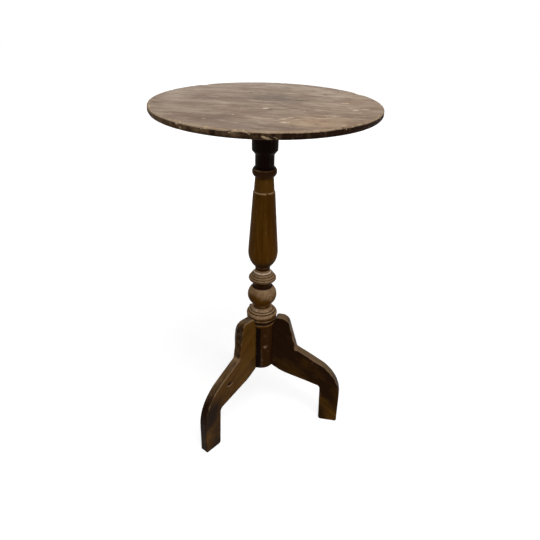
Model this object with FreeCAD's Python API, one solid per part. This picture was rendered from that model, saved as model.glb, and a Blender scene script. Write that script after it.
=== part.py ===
import FreeCAD, Part
import math
import os

# A round lamp table: one-board top, turned column, three plank legs.
# Millimetres, +Z up. The origin is on the floor, under the column's axis.
# The right leg points along +X and the other legs follow anticlockwise.

# Whole table
table_height = 714.0
leg_names = ("leg_right", "leg_back", "leg_left")

# Top: one round board
top_diameter = 413.0
top_thickness = 14.0
top_upper_round = 3.0
top_lower_round = 6.0

# Bearer: the batten across the grain under the top, thinner at its ends
bearer_length = 260.0
bearer_width = 76.0
bearer_thickness = 18.0
bearer_end_thickness = 9.0
bearer_taper_length = 46.0

# Screws that hold the bearer to the top
screw_shank_diameter = 4.4
screw_head_diameter = 8.6
screw_head_height = 2.6
screw_bite = 8.0
screw_point_length = 4.0
screw_spacing_across = 46.0
screw_spacing_along = 130.0

# Tenon on the column's upper end, and the wedge that spreads it
tenon_diameter = 26.0
tenon_clearance = 0.1
tenon_set_back = 0.5
wedge_length = 14.0
wedge_thick_end = 3.2
wedge_thin_end = 1.2

# Column above the vase: cap, chamfer, neck and bead
cap_radius = 24.7
cap_height = 53.0
cap_chamfer_height = 8.0
neck_radius = 18.2
neck_height = 23.0
neck_bead_proud = 5.6
neck_bead_height = 20.0

# Vase: a straight taper down to a round belly, with one scribed ring
shaft_radius = 18.0
belly_radius = 28.7
belly_curve_radius = 50.0
ring_drop = 28.5
ring_width = 2.2
ring_depth = 0.7

# Waist and stepped collar under the vase
waist_radius = 15.3
waist_height = 5.0
collar_radius = 28.6
collar_slope_height = 8.0
collar_slope_radius = 18.8
collar_steps_height = 13.5
collar_step_count = 3
collar_lip_height = 4.0
collar_lip_inset = 3.0
collar_undercut_height = 3.5

# Ball with a short neck above and below
ball_radius = 29.6
ball_neck_radius = 18.3
ball_upper_neck_height = 9.5
ball_lower_neck_height = 2.0

# Base moulding over the drum
base_cove_height = 9.2
base_steps_height = 4.5
base_step_count = 1
base_cove_radius = 23.6
base_step_radius = 28.6
torus_proud = 4.5
torus_height = 12.6
torus_groove_depth = 2.0
under_bead_proud = 3.7
under_bead_height = 6.0
hollow_height = 6.0
hollow_depth = 1.5
drum_bead_proud = 1.3
drum_bead_height = 5.0

# Drum that carries the legs
drum_bottom = 141.5
drum_radius = 28.0
drum_height = 110.2

# Leg: plank thickness, then the outline from the ear down to the foot
leg_thickness = 18.0
ear_clearance = 0.7
ear_bead_clearance = 0.4
ear_rise = 18.0
ear_width = 26.0
ear_inner_round = 6.0
ear_outer_round = 19.0
ear_relief_drop = 5.3
ear_relief_rise = 2.0
notch_reach = 80.5
notch_height = 192.0
notch_round = 7.0
leg_reach = 183.5
knee_height = 130.5
knee_round = 100.0
toe_set_in = 0.5
toe_round = 4.0
sole_length = 42.0
heel_round = 6.0
foot_top_width = 45.5
crotch_height = 97.0
crotch_round = 11.0
arch_start = 19.5
arch_drop = 14.5
arch_round = 90.0

# Sliding dovetail between leg and drum, pushed in from below
tongue_depth = 11.0
tongue_root_width = 9.0
tongue_end_width = 12.5
tongue_length = 92.0
tongue_clearance = 0.2

# Pegs: each runs through the drum into the tongue of the leg opposite
peg_diameter = 7.0
peg_height = 199.0
peg_step = 14.0
peg_bite = 8.0
peg_proud = 0.5

# Shares: how far a step's quarter round rises, and where a torus is widest
step_round_share = 0.7
torus_widest_share = 0.45
quarter_round_share = math.sqrt(0.5)

# How far a cutting solid runs past the piece that it cuts
overrun = 5.0

# Levels and radii that follow from the sizes above
top_underside = table_height - top_thickness
bearer_underside = top_underside - bearer_thickness
tenon_end = top_underside - tenon_set_back
drum_top = drum_bottom + drum_height
torus_radius = drum_radius + torus_proud
leg_shoulder = math.sqrt(drum_radius ** 2 - (leg_thickness / 2) ** 2)
tongue_top = drum_bottom + tongue_length
ear_relief_low = drum_top - ear_relief_drop
hollow_low = drum_top + drum_bead_height
up = FreeCAD.Vector(0, 0, 1)


def at(x, z):
    """Return a point in the XZ plane, where every outline is drawn."""
    return FreeCAD.Vector(x, 0, z)


class Outline:
    """A run of straight and round edges in the XZ plane, drawn point by point."""

    def __init__(self, x, z):
        self.start = at(x, z)
        self.end = self.start
        self.edges = []

    def line(self, x, z):
        """Draw straight to a point."""
        target = at(x, z)
        self.edges.append(Part.makeLine(self.end, target))
        self.end = target

    def arc(self, middle_x, middle_z, x, z):
        """Draw a round edge through a middle point."""
        target = at(x, z)
        self.edges.append(Part.Arc(self.end, at(middle_x, middle_z), target).toShape())
        self.end = target

    def bead(self, proud, height, x):
        """Draw a half-round bead, or a hollow where proud is negative, up to radius x."""
        middle_x = (self.end.x + x) / 2 + proud
        self.arc(middle_x, self.end.z + height / 2, x, self.end.z + height)

    def steps(self, inner, height, count):
        """Draw quarter-round steps inwards, each with a short upright riser."""
        run = (self.end.x - inner) / count
        rise = height / count
        for _ in range(count):
            x = self.end.x
            z = self.end.z
            round_rise = rise * step_round_share
            middle_x = x - run * (1 - quarter_round_share)
            self.arc(middle_x, z + round_rise * quarter_round_share, x - run, z + round_rise)
            self.line(x - run, z + rise)

    def face(self):
        """Close the outline back to its start and return its face."""
        self.line(self.start.x, self.start.z)
        return Part.Face(Part.Wire(self.edges))

    def turned(self):
        """Return the outline turned once round the Z axis."""
        return self.face().revolve(FreeCAD.Vector(0, 0, 0), up, 360)


def rounded_face(corners):
    """Return the face of a polygon, each corner given as x, z and rounding radius."""
    outline = None
    count = len(corners)
    for index, (x, z, radius) in enumerate(corners):
        corner = at(x, z)
        before = (at(*corners[index - 1][:2]) - corner).normalize()
        after = (at(*corners[(index + 1) % count][:2]) - corner).normalize()
        half_angle = before.getAngle(after) / 2
        reach = radius / math.tan(half_angle)
        first = corner + before * reach
        last = corner + after * reach
        if outline is None:
            outline = Outline(first.x, first.z)
        else:
            outline.line(first.x, first.z)
        if radius > 0:
            bisector = (before + after).normalize()
            middle = corner + bisector * (radius / math.sin(half_angle) - radius)
            outline.arc(middle.x, middle.z, last.x, last.z)
    return outline.face()


def turn_to_leg(shape, index):
    """Return the shape turned from the first leg's place to the given leg's."""
    turned = shape.copy()
    turned.rotate(FreeCAD.Vector(0, 0, 0), up, 360 * index / len(leg_names))
    return turned


def rod(diameter, start, end):
    """Return a round rod between two points."""
    return Part.makeCylinder(diameter / 2, (end - start).Length, start, end - start)


def make_top():
    """Return the round board with its two rounded edges."""
    radius = top_diameter / 2
    outline = Outline(0, top_underside)
    outline.line(radius - top_lower_round, top_underside)
    outline.arc(
        radius - top_lower_round * (1 - quarter_round_share),
        top_underside + top_lower_round * (1 - quarter_round_share),
        radius,
        top_underside + top_lower_round,
    )
    outline.line(radius, table_height - top_upper_round)
    outline.arc(
        radius - top_upper_round * (1 - quarter_round_share),
        table_height - top_upper_round * (1 - quarter_round_share),
        radius - top_upper_round,
        table_height,
    )
    outline.line(0, table_height)
    return outline.turned()


def make_bearer():
    """Return the batten, with tapered ends and the hole for the tenon."""
    half = bearer_length / 2
    end_low = top_underside - bearer_end_thickness
    outline = Outline(-half, top_underside)
    outline.line(half, top_underside)
    outline.line(half, end_low)
    outline.line(half - bearer_taper_length, bearer_underside)
    outline.line(-half + bearer_taper_length, bearer_underside)
    outline.line(-half, end_low)
    batten = outline.face().extrude(FreeCAD.Vector(0, bearer_width, 0))
    batten.translate(FreeCAD.Vector(0, -bearer_width / 2, 0))
    batten.rotate(FreeCAD.Vector(0, 0, 0), up, 90)
    hole = rod(
        tenon_diameter + 2 * tenon_clearance,
        at(0, bearer_underside - overrun),
        at(0, top_underside + overrun),
    )
    return batten.cut(hole)


def make_screws():
    """Return the four bearer screws, heads flush with the bearer's underside."""
    shank = screw_shank_diameter / 2
    tip = top_underside + screw_bite
    outline = Outline(0, bearer_underside)
    outline.line(screw_head_diameter / 2, bearer_underside)
    outline.line(shank, bearer_underside + screw_head_height)
    outline.line(shank, tip - screw_point_length)
    outline.line(0, tip)
    screw = outline.turned()
    screws = []
    for side in (-1, 1):
        for end in (-1, 1):
            placed = screw.copy()
            placed.translate(FreeCAD.Vector(side * screw_spacing_across / 2, end * screw_spacing_along / 2, 0))
            screws.append(placed)
    return screws


def make_wedge():
    """Return the tenon's wedge, trimmed to the tenon's round."""
    thin_level = tenon_end - wedge_length
    section = Part.makePolygon([
        FreeCAD.Vector(-tenon_diameter, -wedge_thick_end / 2, tenon_end),
        FreeCAD.Vector(-tenon_diameter, wedge_thick_end / 2, tenon_end),
        FreeCAD.Vector(-tenon_diameter, wedge_thin_end / 2, thin_level),
        FreeCAD.Vector(-tenon_diameter, -wedge_thin_end / 2, thin_level),
        FreeCAD.Vector(-tenon_diameter, -wedge_thick_end / 2, tenon_end),
    ])
    blank = Part.Face(section).extrude(FreeCAD.Vector(2 * tenon_diameter, 0, 0))
    return blank.common(rod(tenon_diameter, at(0, bearer_underside), at(0, tenon_end)))


def draw_base(outline):
    """Draw the drum and the base moulding, up to the ball's lower neck."""
    outline.line(drum_radius, drum_bottom)
    outline.line(drum_radius, drum_top)
    outline.bead(drum_bead_proud, drum_bead_height, drum_radius)
    under_bead_foot = torus_radius - torus_groove_depth
    hollow_proud = -hollow_depth - (under_bead_foot - drum_radius) / 2
    outline.bead(hollow_proud, hollow_height, under_bead_foot)
    outline.bead(drum_radius + under_bead_proud - under_bead_foot, under_bead_height, under_bead_foot)
    low = outline.end.z
    outline.arc(torus_radius, low + torus_height * torus_widest_share, base_step_radius, low + torus_height)
    outline.steps(base_cove_radius, base_steps_height, base_step_count)
    draw_cove(outline, ball_neck_radius, base_cove_height)
    outline.line(ball_neck_radius, outline.end.z + ball_lower_neck_height)


def draw_cove(outline, inner, height):
    """Draw a hollow quarter round, rising inwards to a neck."""
    x = outline.end.x
    z = outline.end.z
    middle_x = inner + (x - inner) * (1 - quarter_round_share)
    middle_z = z + height * (1 - quarter_round_share)
    outline.arc(middle_x, middle_z, inner, z + height)


def draw_ball_and_collar(outline):
    """Draw the ball, the stepped collar and the waist under the vase."""
    half = math.sqrt(ball_radius ** 2 - ball_neck_radius ** 2)
    low = outline.end.z
    outline.arc(ball_radius, low + half, ball_neck_radius, low + 2 * half)
    outline.line(ball_neck_radius, outline.end.z + ball_upper_neck_height)
    lip_inner = collar_radius - collar_lip_inset
    low = outline.end.z + collar_undercut_height
    outline.line(lip_inner, low)
    outline.arc(
        lip_inner + collar_lip_inset * quarter_round_share,
        low + collar_lip_height * (1 - quarter_round_share),
        collar_radius,
        low + collar_lip_height,
    )
    outline.steps(collar_slope_radius, collar_steps_height, collar_step_count)
    draw_cove(outline, waist_radius, collar_slope_height)
    outline.line(waist_radius, outline.end.z + waist_height)


def draw_vase(outline, top_level):
    """Draw the belly, the straight taper and its scribed ring, up to the vase's top."""
    low = outline.end.z
    centre_x = belly_radius - belly_curve_radius
    inset = belly_curve_radius - (belly_radius - waist_radius)
    centre_z = low + math.sqrt(belly_curve_radius ** 2 - inset ** 2)
    top_x = shaft_radius - centre_x
    top_z = top_level - centre_z
    tangent_angle = math.atan2(top_z, top_x) - math.acos(belly_curve_radius / math.hypot(top_x, top_z))
    tangent_x = centre_x + belly_curve_radius * math.cos(tangent_angle)
    tangent_z = centre_z + belly_curve_radius * math.sin(tangent_angle)
    outline.arc(belly_radius, centre_z, tangent_x, tangent_z)
    lean = (shaft_radius - tangent_x) / (top_level - tangent_z)
    ring_level = top_level - ring_drop
    ring_low = ring_level - ring_width / 2
    ring_high = ring_level + ring_width / 2
    outline.line(shaft_radius + lean * (ring_low - top_level), ring_low)
    outline.line(shaft_radius + lean * (ring_level - top_level) - ring_depth, ring_level)
    outline.line(shaft_radius + lean * (ring_high - top_level), ring_high)
    outline.line(shaft_radius, top_level)


def draw_head(outline):
    """Draw the bead, neck, cap and tenon above the vase, and return to the axis."""
    outline.bead(neck_bead_proud, neck_bead_height, neck_radius)
    outline.line(neck_radius, outline.end.z + neck_height)
    outline.line(cap_radius, outline.end.z + cap_chamfer_height)
    outline.line(cap_radius, bearer_underside)
    outline.line(tenon_diameter / 2, bearer_underside)
    outline.line(tenon_diameter / 2, tenon_end)
    outline.line(0, tenon_end)


def make_dovetail(clearance, shoulder_reach, low, high):
    """Return a dovetail along Z: the tongue itself, or its socket with clearance all round."""
    end_x = leg_shoulder - tongue_depth - clearance
    flare = (tongue_end_width - tongue_root_width) / 2 / tongue_depth
    end_half = tongue_end_width / 2 + clearance * (1 + flare)
    root_x = leg_shoulder + shoulder_reach
    root_half = end_half - flare * (root_x - end_x)
    section = Part.makePolygon([
        FreeCAD.Vector(root_x, -root_half, low),
        FreeCAD.Vector(root_x, root_half, low),
        FreeCAD.Vector(end_x, end_half, low),
        FreeCAD.Vector(end_x, -end_half, low),
        FreeCAD.Vector(root_x, -root_half, low),
    ])
    return Part.Face(section).extrude(FreeCAD.Vector(0, 0, high - low))


def make_column():
    """Return the turned column, with its flats and sockets for the legs."""
    vase_top = bearer_underside - cap_height - cap_chamfer_height - neck_height - neck_bead_height
    outline = Outline(0, drum_bottom)
    draw_base(outline)
    draw_ball_and_collar(outline)
    draw_vase(outline, vase_top)
    draw_head(outline)
    column = outline.turned()
    flat = Part.makeBox(
        drum_radius,
        2 * drum_radius,
        ear_relief_low - drum_bottom + overrun,
        FreeCAD.Vector(leg_shoulder, -drum_radius, drum_bottom - overrun),
    )
    socket = make_dovetail(tongue_clearance, overrun, drum_bottom - overrun, tongue_top + tongue_clearance)
    for index in range(len(leg_names)):
        column = column.cut(turn_to_leg(flat, index))
        column = column.cut(turn_to_leg(socket, index))
    return column


def make_leg():
    """Return one leg with its tongue, in the first leg's place."""
    ear_lap = drum_radius + drum_bead_proud + ear_bead_clearance
    ear_inner = drum_radius + under_bead_proud + ear_clearance
    ear_top = drum_top + ear_rise
    plank = rounded_face((
        (leg_shoulder, drum_bottom, 0),
        (leg_shoulder, ear_relief_low, 0),
        (drum_radius, ear_relief_low, 0),
        (ear_lap, ear_relief_low + ear_relief_rise, 0),
        (ear_lap, hollow_low + hollow_height / 2, 0),
        (ear_inner, hollow_low + hollow_height, 0),
        (ear_inner, ear_top, ear_inner_round),
        (ear_inner + ear_width, ear_top, ear_outer_round),
        (notch_reach, notch_height, notch_round),
        (leg_reach, knee_height, knee_round),
        (leg_reach - toe_set_in, 0, toe_round),
        (leg_reach - toe_set_in - sole_length, 0, heel_round),
        (leg_reach - foot_top_width, crotch_height, crotch_round),
        (leg_shoulder + arch_start, drum_bottom - arch_drop, arch_round),
    )).extrude(FreeCAD.Vector(0, leg_thickness, 0))
    plank.translate(FreeCAD.Vector(0, -leg_thickness / 2, 0))
    return plank.fuse(make_dovetail(0, 0, drum_bottom, tongue_top)).removeSplitter()


def make_peg(index):
    """Return the peg of one leg, driven in from the far side of the drum."""
    level = peg_height + peg_step * (index - 1)
    outer = at(-drum_radius - peg_proud, level)
    inner = at(leg_shoulder - tongue_depth + peg_bite, level)
    return turn_to_leg(rod(peg_diameter, outer, inner), index)


def main():
    """Build every piece and write one STEP file for each node."""
    os.makedirs("parts", exist_ok=True)
    top = make_top()
    bearer = make_bearer()
    screws = make_screws()
    for screw in screws:
        top = top.cut(screw)
        bearer = bearer.cut(screw)
    wedge = make_wedge()
    column = make_column().cut(wedge)
    leg = make_leg()
    pegs = []
    nodes = {}
    for index, name in enumerate(leg_names):
        peg = make_peg(index)
        pegs.append(peg)
        column = column.cut(peg)
        nodes[name] = turn_to_leg(leg, index).cut(peg)
    nodes["table_top"] = top
    nodes["top_bearer"] = bearer
    nodes["bearer_screws"] = Part.makeCompound(screws)
    nodes["tenon_wedge"] = wedge
    nodes["column"] = column
    nodes["leg_pegs"] = Part.makeCompound(pegs)
    for name, shape in nodes.items():
        shape.exportStep("parts/" + name + ".step")
        print(name, len(shape.Solids), "solid", round(shape.Volume / 1000), "cm3", shape.isValid())


main()
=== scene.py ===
"""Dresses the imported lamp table: a worn round top, a turned column and plank legs."""

import logging
import math
from dataclasses import dataclass, field
from enum import Enum

import bmesh
import bpy
import numpy as np
from mathutils import Matrix, Vector, noise
from mathutils.geometry import delaunay_2d_cdt


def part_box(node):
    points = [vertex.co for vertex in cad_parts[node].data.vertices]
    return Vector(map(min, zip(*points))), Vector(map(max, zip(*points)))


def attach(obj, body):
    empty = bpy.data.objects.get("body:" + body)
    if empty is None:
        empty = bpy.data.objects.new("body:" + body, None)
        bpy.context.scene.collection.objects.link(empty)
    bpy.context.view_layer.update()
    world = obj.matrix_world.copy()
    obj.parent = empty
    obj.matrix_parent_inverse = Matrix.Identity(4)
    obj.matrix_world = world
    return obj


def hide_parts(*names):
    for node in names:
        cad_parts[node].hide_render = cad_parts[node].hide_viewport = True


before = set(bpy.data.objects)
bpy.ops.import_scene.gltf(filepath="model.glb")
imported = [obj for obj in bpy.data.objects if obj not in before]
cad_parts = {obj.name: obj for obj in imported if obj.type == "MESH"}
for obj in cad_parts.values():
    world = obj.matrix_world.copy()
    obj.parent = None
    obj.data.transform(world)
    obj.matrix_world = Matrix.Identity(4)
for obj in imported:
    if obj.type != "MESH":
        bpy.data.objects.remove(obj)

LOG = logging.getLogger("lamp_table")
BODY = "root"
SEED = 7
QUARTER = math.sqrt(0.5)
CREASE = math.radians(50)

MM = 0.001
# The spacing of points on curves and on straight runs, and the gap at which points are joined.
FINE = 0.7 * MM
COARSE = 6.0 * MM
WELD = 0.002 * MM

Triple = tuple[float, float, float]
Rgb = Triple
Face = tuple[int, ...]
Solid = tuple[np.ndarray, list[Face]]
Socket = bpy.types.NodeSocket
Value = float | Triple | Socket


class Grain(Enum):
    """Which way the grain of a piece runs in its own axes."""

    ALONG_X = "x"
    ALONG_Y = "y"
    ALONG_Z = "z"
    ALONG_LEG = "leg"


class Section(Enum):
    """How the column is cut at one level."""

    ROUND = "round"
    FLAT = "flat"
    SOCKET = "socket"


class PlankFace(Enum):
    """Which face of a plank is meant, by the sign of its own Y axis."""

    MINUS_Y = -1
    PLUS_Y = 1


def srgb(red: float, green: float, blue: float) -> Rgb:
    """Return the linear colour of a picture colour.

    Args:
        red: Red, 0 to 255.
        green: Green, 0 to 255.
        blue: Blue, 0 to 255.

    Returns:
        The colour as shaders take it.
    """
    shares = (red / 255, green / 255, blue / 255)
    return tuple(s / 12.92 if s <= 0.04045 else ((s + 0.055) / 1.055) ** 2.4 for s in shares)


def ease(low: float, high: float, values: np.ndarray) -> np.ndarray:
    """Return a smooth step from 0 at low to 1 at high.

    Args:
        low: Where the step begins.
        high: Where the step ends, which may be the lower value.
        values: What is stepped.

    Returns:
        Values from 0 to 1.
    """
    share = np.clip((values - low) / (high - low), 0, 1)
    return share * share * (3 - 2 * share)


def near(centre: float, outer: float, inner: float, values: np.ndarray) -> np.ndarray:
    """Return a smooth band about a centre.

    Args:
        centre: The band's middle.
        outer: The distance from which it is 0.
        inner: The distance up to which it is 1.
        values: What is measured.

    Returns:
        Values from 0 to 1.
    """
    return ease(outer, inner, np.abs(values - centre))


def lumps(points: np.ndarray, scale: float, shift: float = 0.0) -> np.ndarray:
    """Return smooth noise from -1 to 1 at each point.

    Args:
        points: Places in metres, one row each.
        scale: Lumps per metre.
        shift: Moves the pattern, so that pieces differ.

    Returns:
        One value for each row.
    """
    return np.array([noise.noise(Vector(row)) for row in (points * scale + shift).tolist()])


def shortest_gap(points: np.ndarray, border: np.ndarray) -> np.ndarray:
    """Return how far each point is from the nearest point of a border.

    Args:
        points: Reach and level, one row each.
        border: Reach and level of the border's points.

    Returns:
        Metres, one value for each row of points.
    """
    return np.sqrt(((points[:, None] - border[None]) ** 2).sum(2)).min(1)


def new_material(name: str) -> bpy.types.Material:
    """Return a new material that is drawn with nodes.

    Args:
        name: The material's name.

    Returns:
        The material, with a plain surface.
    """
    made = bpy.data.materials.new(name)
    made.use_nodes = True
    return made


class Shader:
    """The nodes of a material or of the world, drawn call by call."""

    def __init__(self, tree: bpy.types.NodeTree) -> None:
        """Start drawing in a node tree."""
        self.nodes = tree.nodes
        self.links = tree.links

    def put(self, socket: Socket, value: Value) -> None:
        """Set a socket to a constant, or link it.

        Args:
            socket: The input to fill.
            value: A number, a colour, a vector or another node's output.
        """
        if isinstance(value, Socket):
            self.links.new(value, socket)
        elif isinstance(value, tuple) and socket.type == "RGBA":
            socket.default_value = (*value, 1.0)
        else:
            socket.default_value = value

    def node(self, kind: str, inputs: dict[str | int, Value], **settings: object) -> bpy.types.Node:
        """Add a node.

        Args:
            kind: The node's type, without its ShaderNode prefix.
            inputs: Values by input name or number.
            settings: The node's own options.

        Returns:
            The new node.
        """
        made = self.nodes.new("ShaderNode" + kind)
        for name, option in settings.items():
            setattr(made, name, option)
        for key, value in inputs.items():
            self.put(made.inputs[key], value)
        return made

    def point(self) -> Socket:
        """Return the place on the piece, in metres, in its own axes."""
        return self.node("TexCoord", {}).outputs["Object"]

    def paint(self, name: str) -> Socket:
        """Return a value that was painted on the mesh."""
        return self.node("Attribute", {}, attribute_name=name).outputs["Fac"]

    def sum(self, first: Value, second: Value) -> Socket:
        """Return first plus second."""
        return self.node("Math", {0: first, 1: second}, operation="ADD").outputs[0]

    def product(self, first: Value, second: Value) -> Socket:
        """Return first times second, kept from 0 to 1."""
        inputs = {0: first, 1: second}
        return self.node("Math", inputs, operation="MULTIPLY", use_clamp=True).outputs[0]

    def scaled(self, value: Value, factor: float, offset: float) -> Socket:
        """Return value times factor plus offset."""
        inputs = {0: value, 1: factor, 2: offset}
        return self.node("Math", inputs, operation="MULTIPLY_ADD").outputs[0]

    def step(self, value: Value, low: float, high: float) -> Socket:
        """Return a smooth step that is 0 at low and 1 at high.

        Args:
            value: What is stepped.
            low: Where the step begins.
            high: Where the step ends, which may be the lower value.

        Returns:
            A value from 0 to 1.
        """
        inputs = {"From Min": low, "From Max": high, "Value": value}
        return self.node("MapRange", inputs, interpolation_type="SMOOTHSTEP").outputs[0]

    def mix(self, share: Value, first: Value, second: Value, blend: str = "MIX") -> Socket:
        """Return the first colour with a share of the second.

        Args:
            share: How much of the second, 0 to 1.
            first: The colour below.
            second: The colour above.
            blend: How they are blended.

        Returns:
            The mixed colour.
        """
        inputs = {0: share, 6: first, 7: second}
        return self.node("Mix", inputs, data_type="RGBA", blend_type=blend).outputs[2]

    def tint(self, colour: Socket, mask: Socket, tone: Rgb, share: float = 1.0) -> Socket:
        """Return a colour with a share of a tone where a mask is.

        Args:
            colour: The colour below.
            mask: Where the tone goes, 0 to 1.
            tone: The tone above.
            share: How strong the tone is where the mask is 1.

        Returns:
            The mixed colour.
        """
        return self.mix(self.scaled(mask, share, 0.0), colour, tone)

    def noise(self, point: Socket, scale: float, detail: float, lot: Value = 0.0) -> Socket:
        """Return cloudy noise from 0 to 1.

        Args:
            point: The place that it is read at.
            scale: Lumps per metre.
            detail: How many finer layers it has.
            lot: A number that gives each piece its own pattern.

        Returns:
            The noise's height.
        """
        inputs = {"Vector": point, "W": lot, "Scale": scale, "Detail": detail, "Roughness": 0.6}
        return self.node("TexNoise", inputs, noise_dimensions="4D").outputs[0]

    def cells(self, point: Socket, scale: float) -> Socket:
        """Return the distance to the nearest of scattered points, in cell widths."""
        return self.node("TexVoronoi", {"Vector": point, "Scale": scale}).outputs["Distance"]

    def ramp(self, value: Socket, stops: dict[float, Rgb]) -> Socket:
        """Return a colour that changes with a value.

        Args:
            value: A value from 0 to 1.
            stops: Colours by value.

        Returns:
            The colour.
        """
        made = self.node("ValToRGB", {0: value})
        elements = made.color_ramp.elements
        while len(elements) < len(stops):
            elements.new(0.5)
        for element, (place, colour) in zip(elements, sorted(stops.items())):
            element.position = place
            element.color = (*colour, 1.0)
        return made.outputs[0]

    def mapped(self, point: Socket, turn: Triple, scale: Triple) -> Socket:
        """Return a place that is turned about the origin and then stretched.

        Args:
            point: The place.
            turn: Angles about X, Y and Z, in radians.
            scale: Factors along X, Y and Z.

        Returns:
            The new place.
        """
        turned = self.node("Mapping", {"Vector": point, "Rotation": turn}).outputs[0]
        return self.node("Mapping", {"Vector": turned, "Scale": scale}).outputs[0]

    def warped(self, point: Socket, scale: float, reach: float, lot: Value = 0.0) -> Socket:
        """Return a place that is pushed about, so that patterns run wavy.

        Args:
            point: The place.
            scale: Waves per metre.
            reach: How far it is pushed, in metres.
            lot: A number that gives each piece its own waves.

        Returns:
            The pushed place.
        """
        inputs = {"Vector": point, "W": lot, "Scale": scale, "Detail": 2.0}
        waves = self.node("TexNoise", inputs, noise_dimensions="4D").outputs["Color"]
        half = {0: waves, 1: (0.5, 0.5, 0.5)}
        centred = self.node("VectorMath", half, operation="SUBTRACT").outputs[0]
        push = self.node("VectorMath", {0: centred, "Scale": reach}, operation="SCALE").outputs[0]
        return self.node("VectorMath", {0: point, 1: push}).outputs[0]

    def spot(self, point: Socket, centre: Triple, radii: Triple, soft: float,
             turn: float = 0.0) -> Socket:
        """Return the mask of an oval spot.

        Args:
            point: The place that it is read at.
            centre: The spot's centre, in metres.
            radii: Its half sizes along X, Y and Z, in metres.
            soft: The share of its radius over which it fades.
            turn: Its turn about Z, in radians.

        Returns:
            1 inside the spot and 0 outside.
        """
        inputs = {"Vector": point, "Location": centre, "Rotation": (0, 0, turn), "Scale": radii}
        local = self.node("Mapping", inputs, vector_type="TEXTURE").outputs[0]
        reach = self.node("VectorMath", {0: local}, operation="LENGTH").outputs["Value"]
        return self.step(reach, 1.0, 1.0 - soft)

    def bump(self, height: Socket, strength: float, distance: float,
             below: Socket | None = None) -> Socket:
        """Return a normal that a height bends.

        Args:
            height: The height, 0 to 1.
            strength: How strongly it bends the normal.
            distance: The height of 1, in metres.
            below: A coarser normal under it.

        Returns:
            The bent normal.
        """
        inputs = {"Strength": strength, "Distance": distance, "Height": height}
        if below is not None:
            inputs["Normal"] = below
        return self.node("Bump", inputs).outputs[0]


@dataclass(frozen=True)
class Finish:
    """A surface finish and the record's slot that it stands for."""

    name: str
    slot: str

    def material(self) -> bpy.types.Material:
        """Return the finish's material, made once.

        Returns:
            The material, with its nodes drawn.
        """
        made = bpy.data.materials.get(self.name)
        if made is None:
            made = new_material(self.name)
            self.draw(Shader(made.node_tree))
        return made

    def draw(self, shader: Shader) -> None:
        """Draw the nodes, which each kind of finish does its own way."""
        raise NotImplementedError


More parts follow.
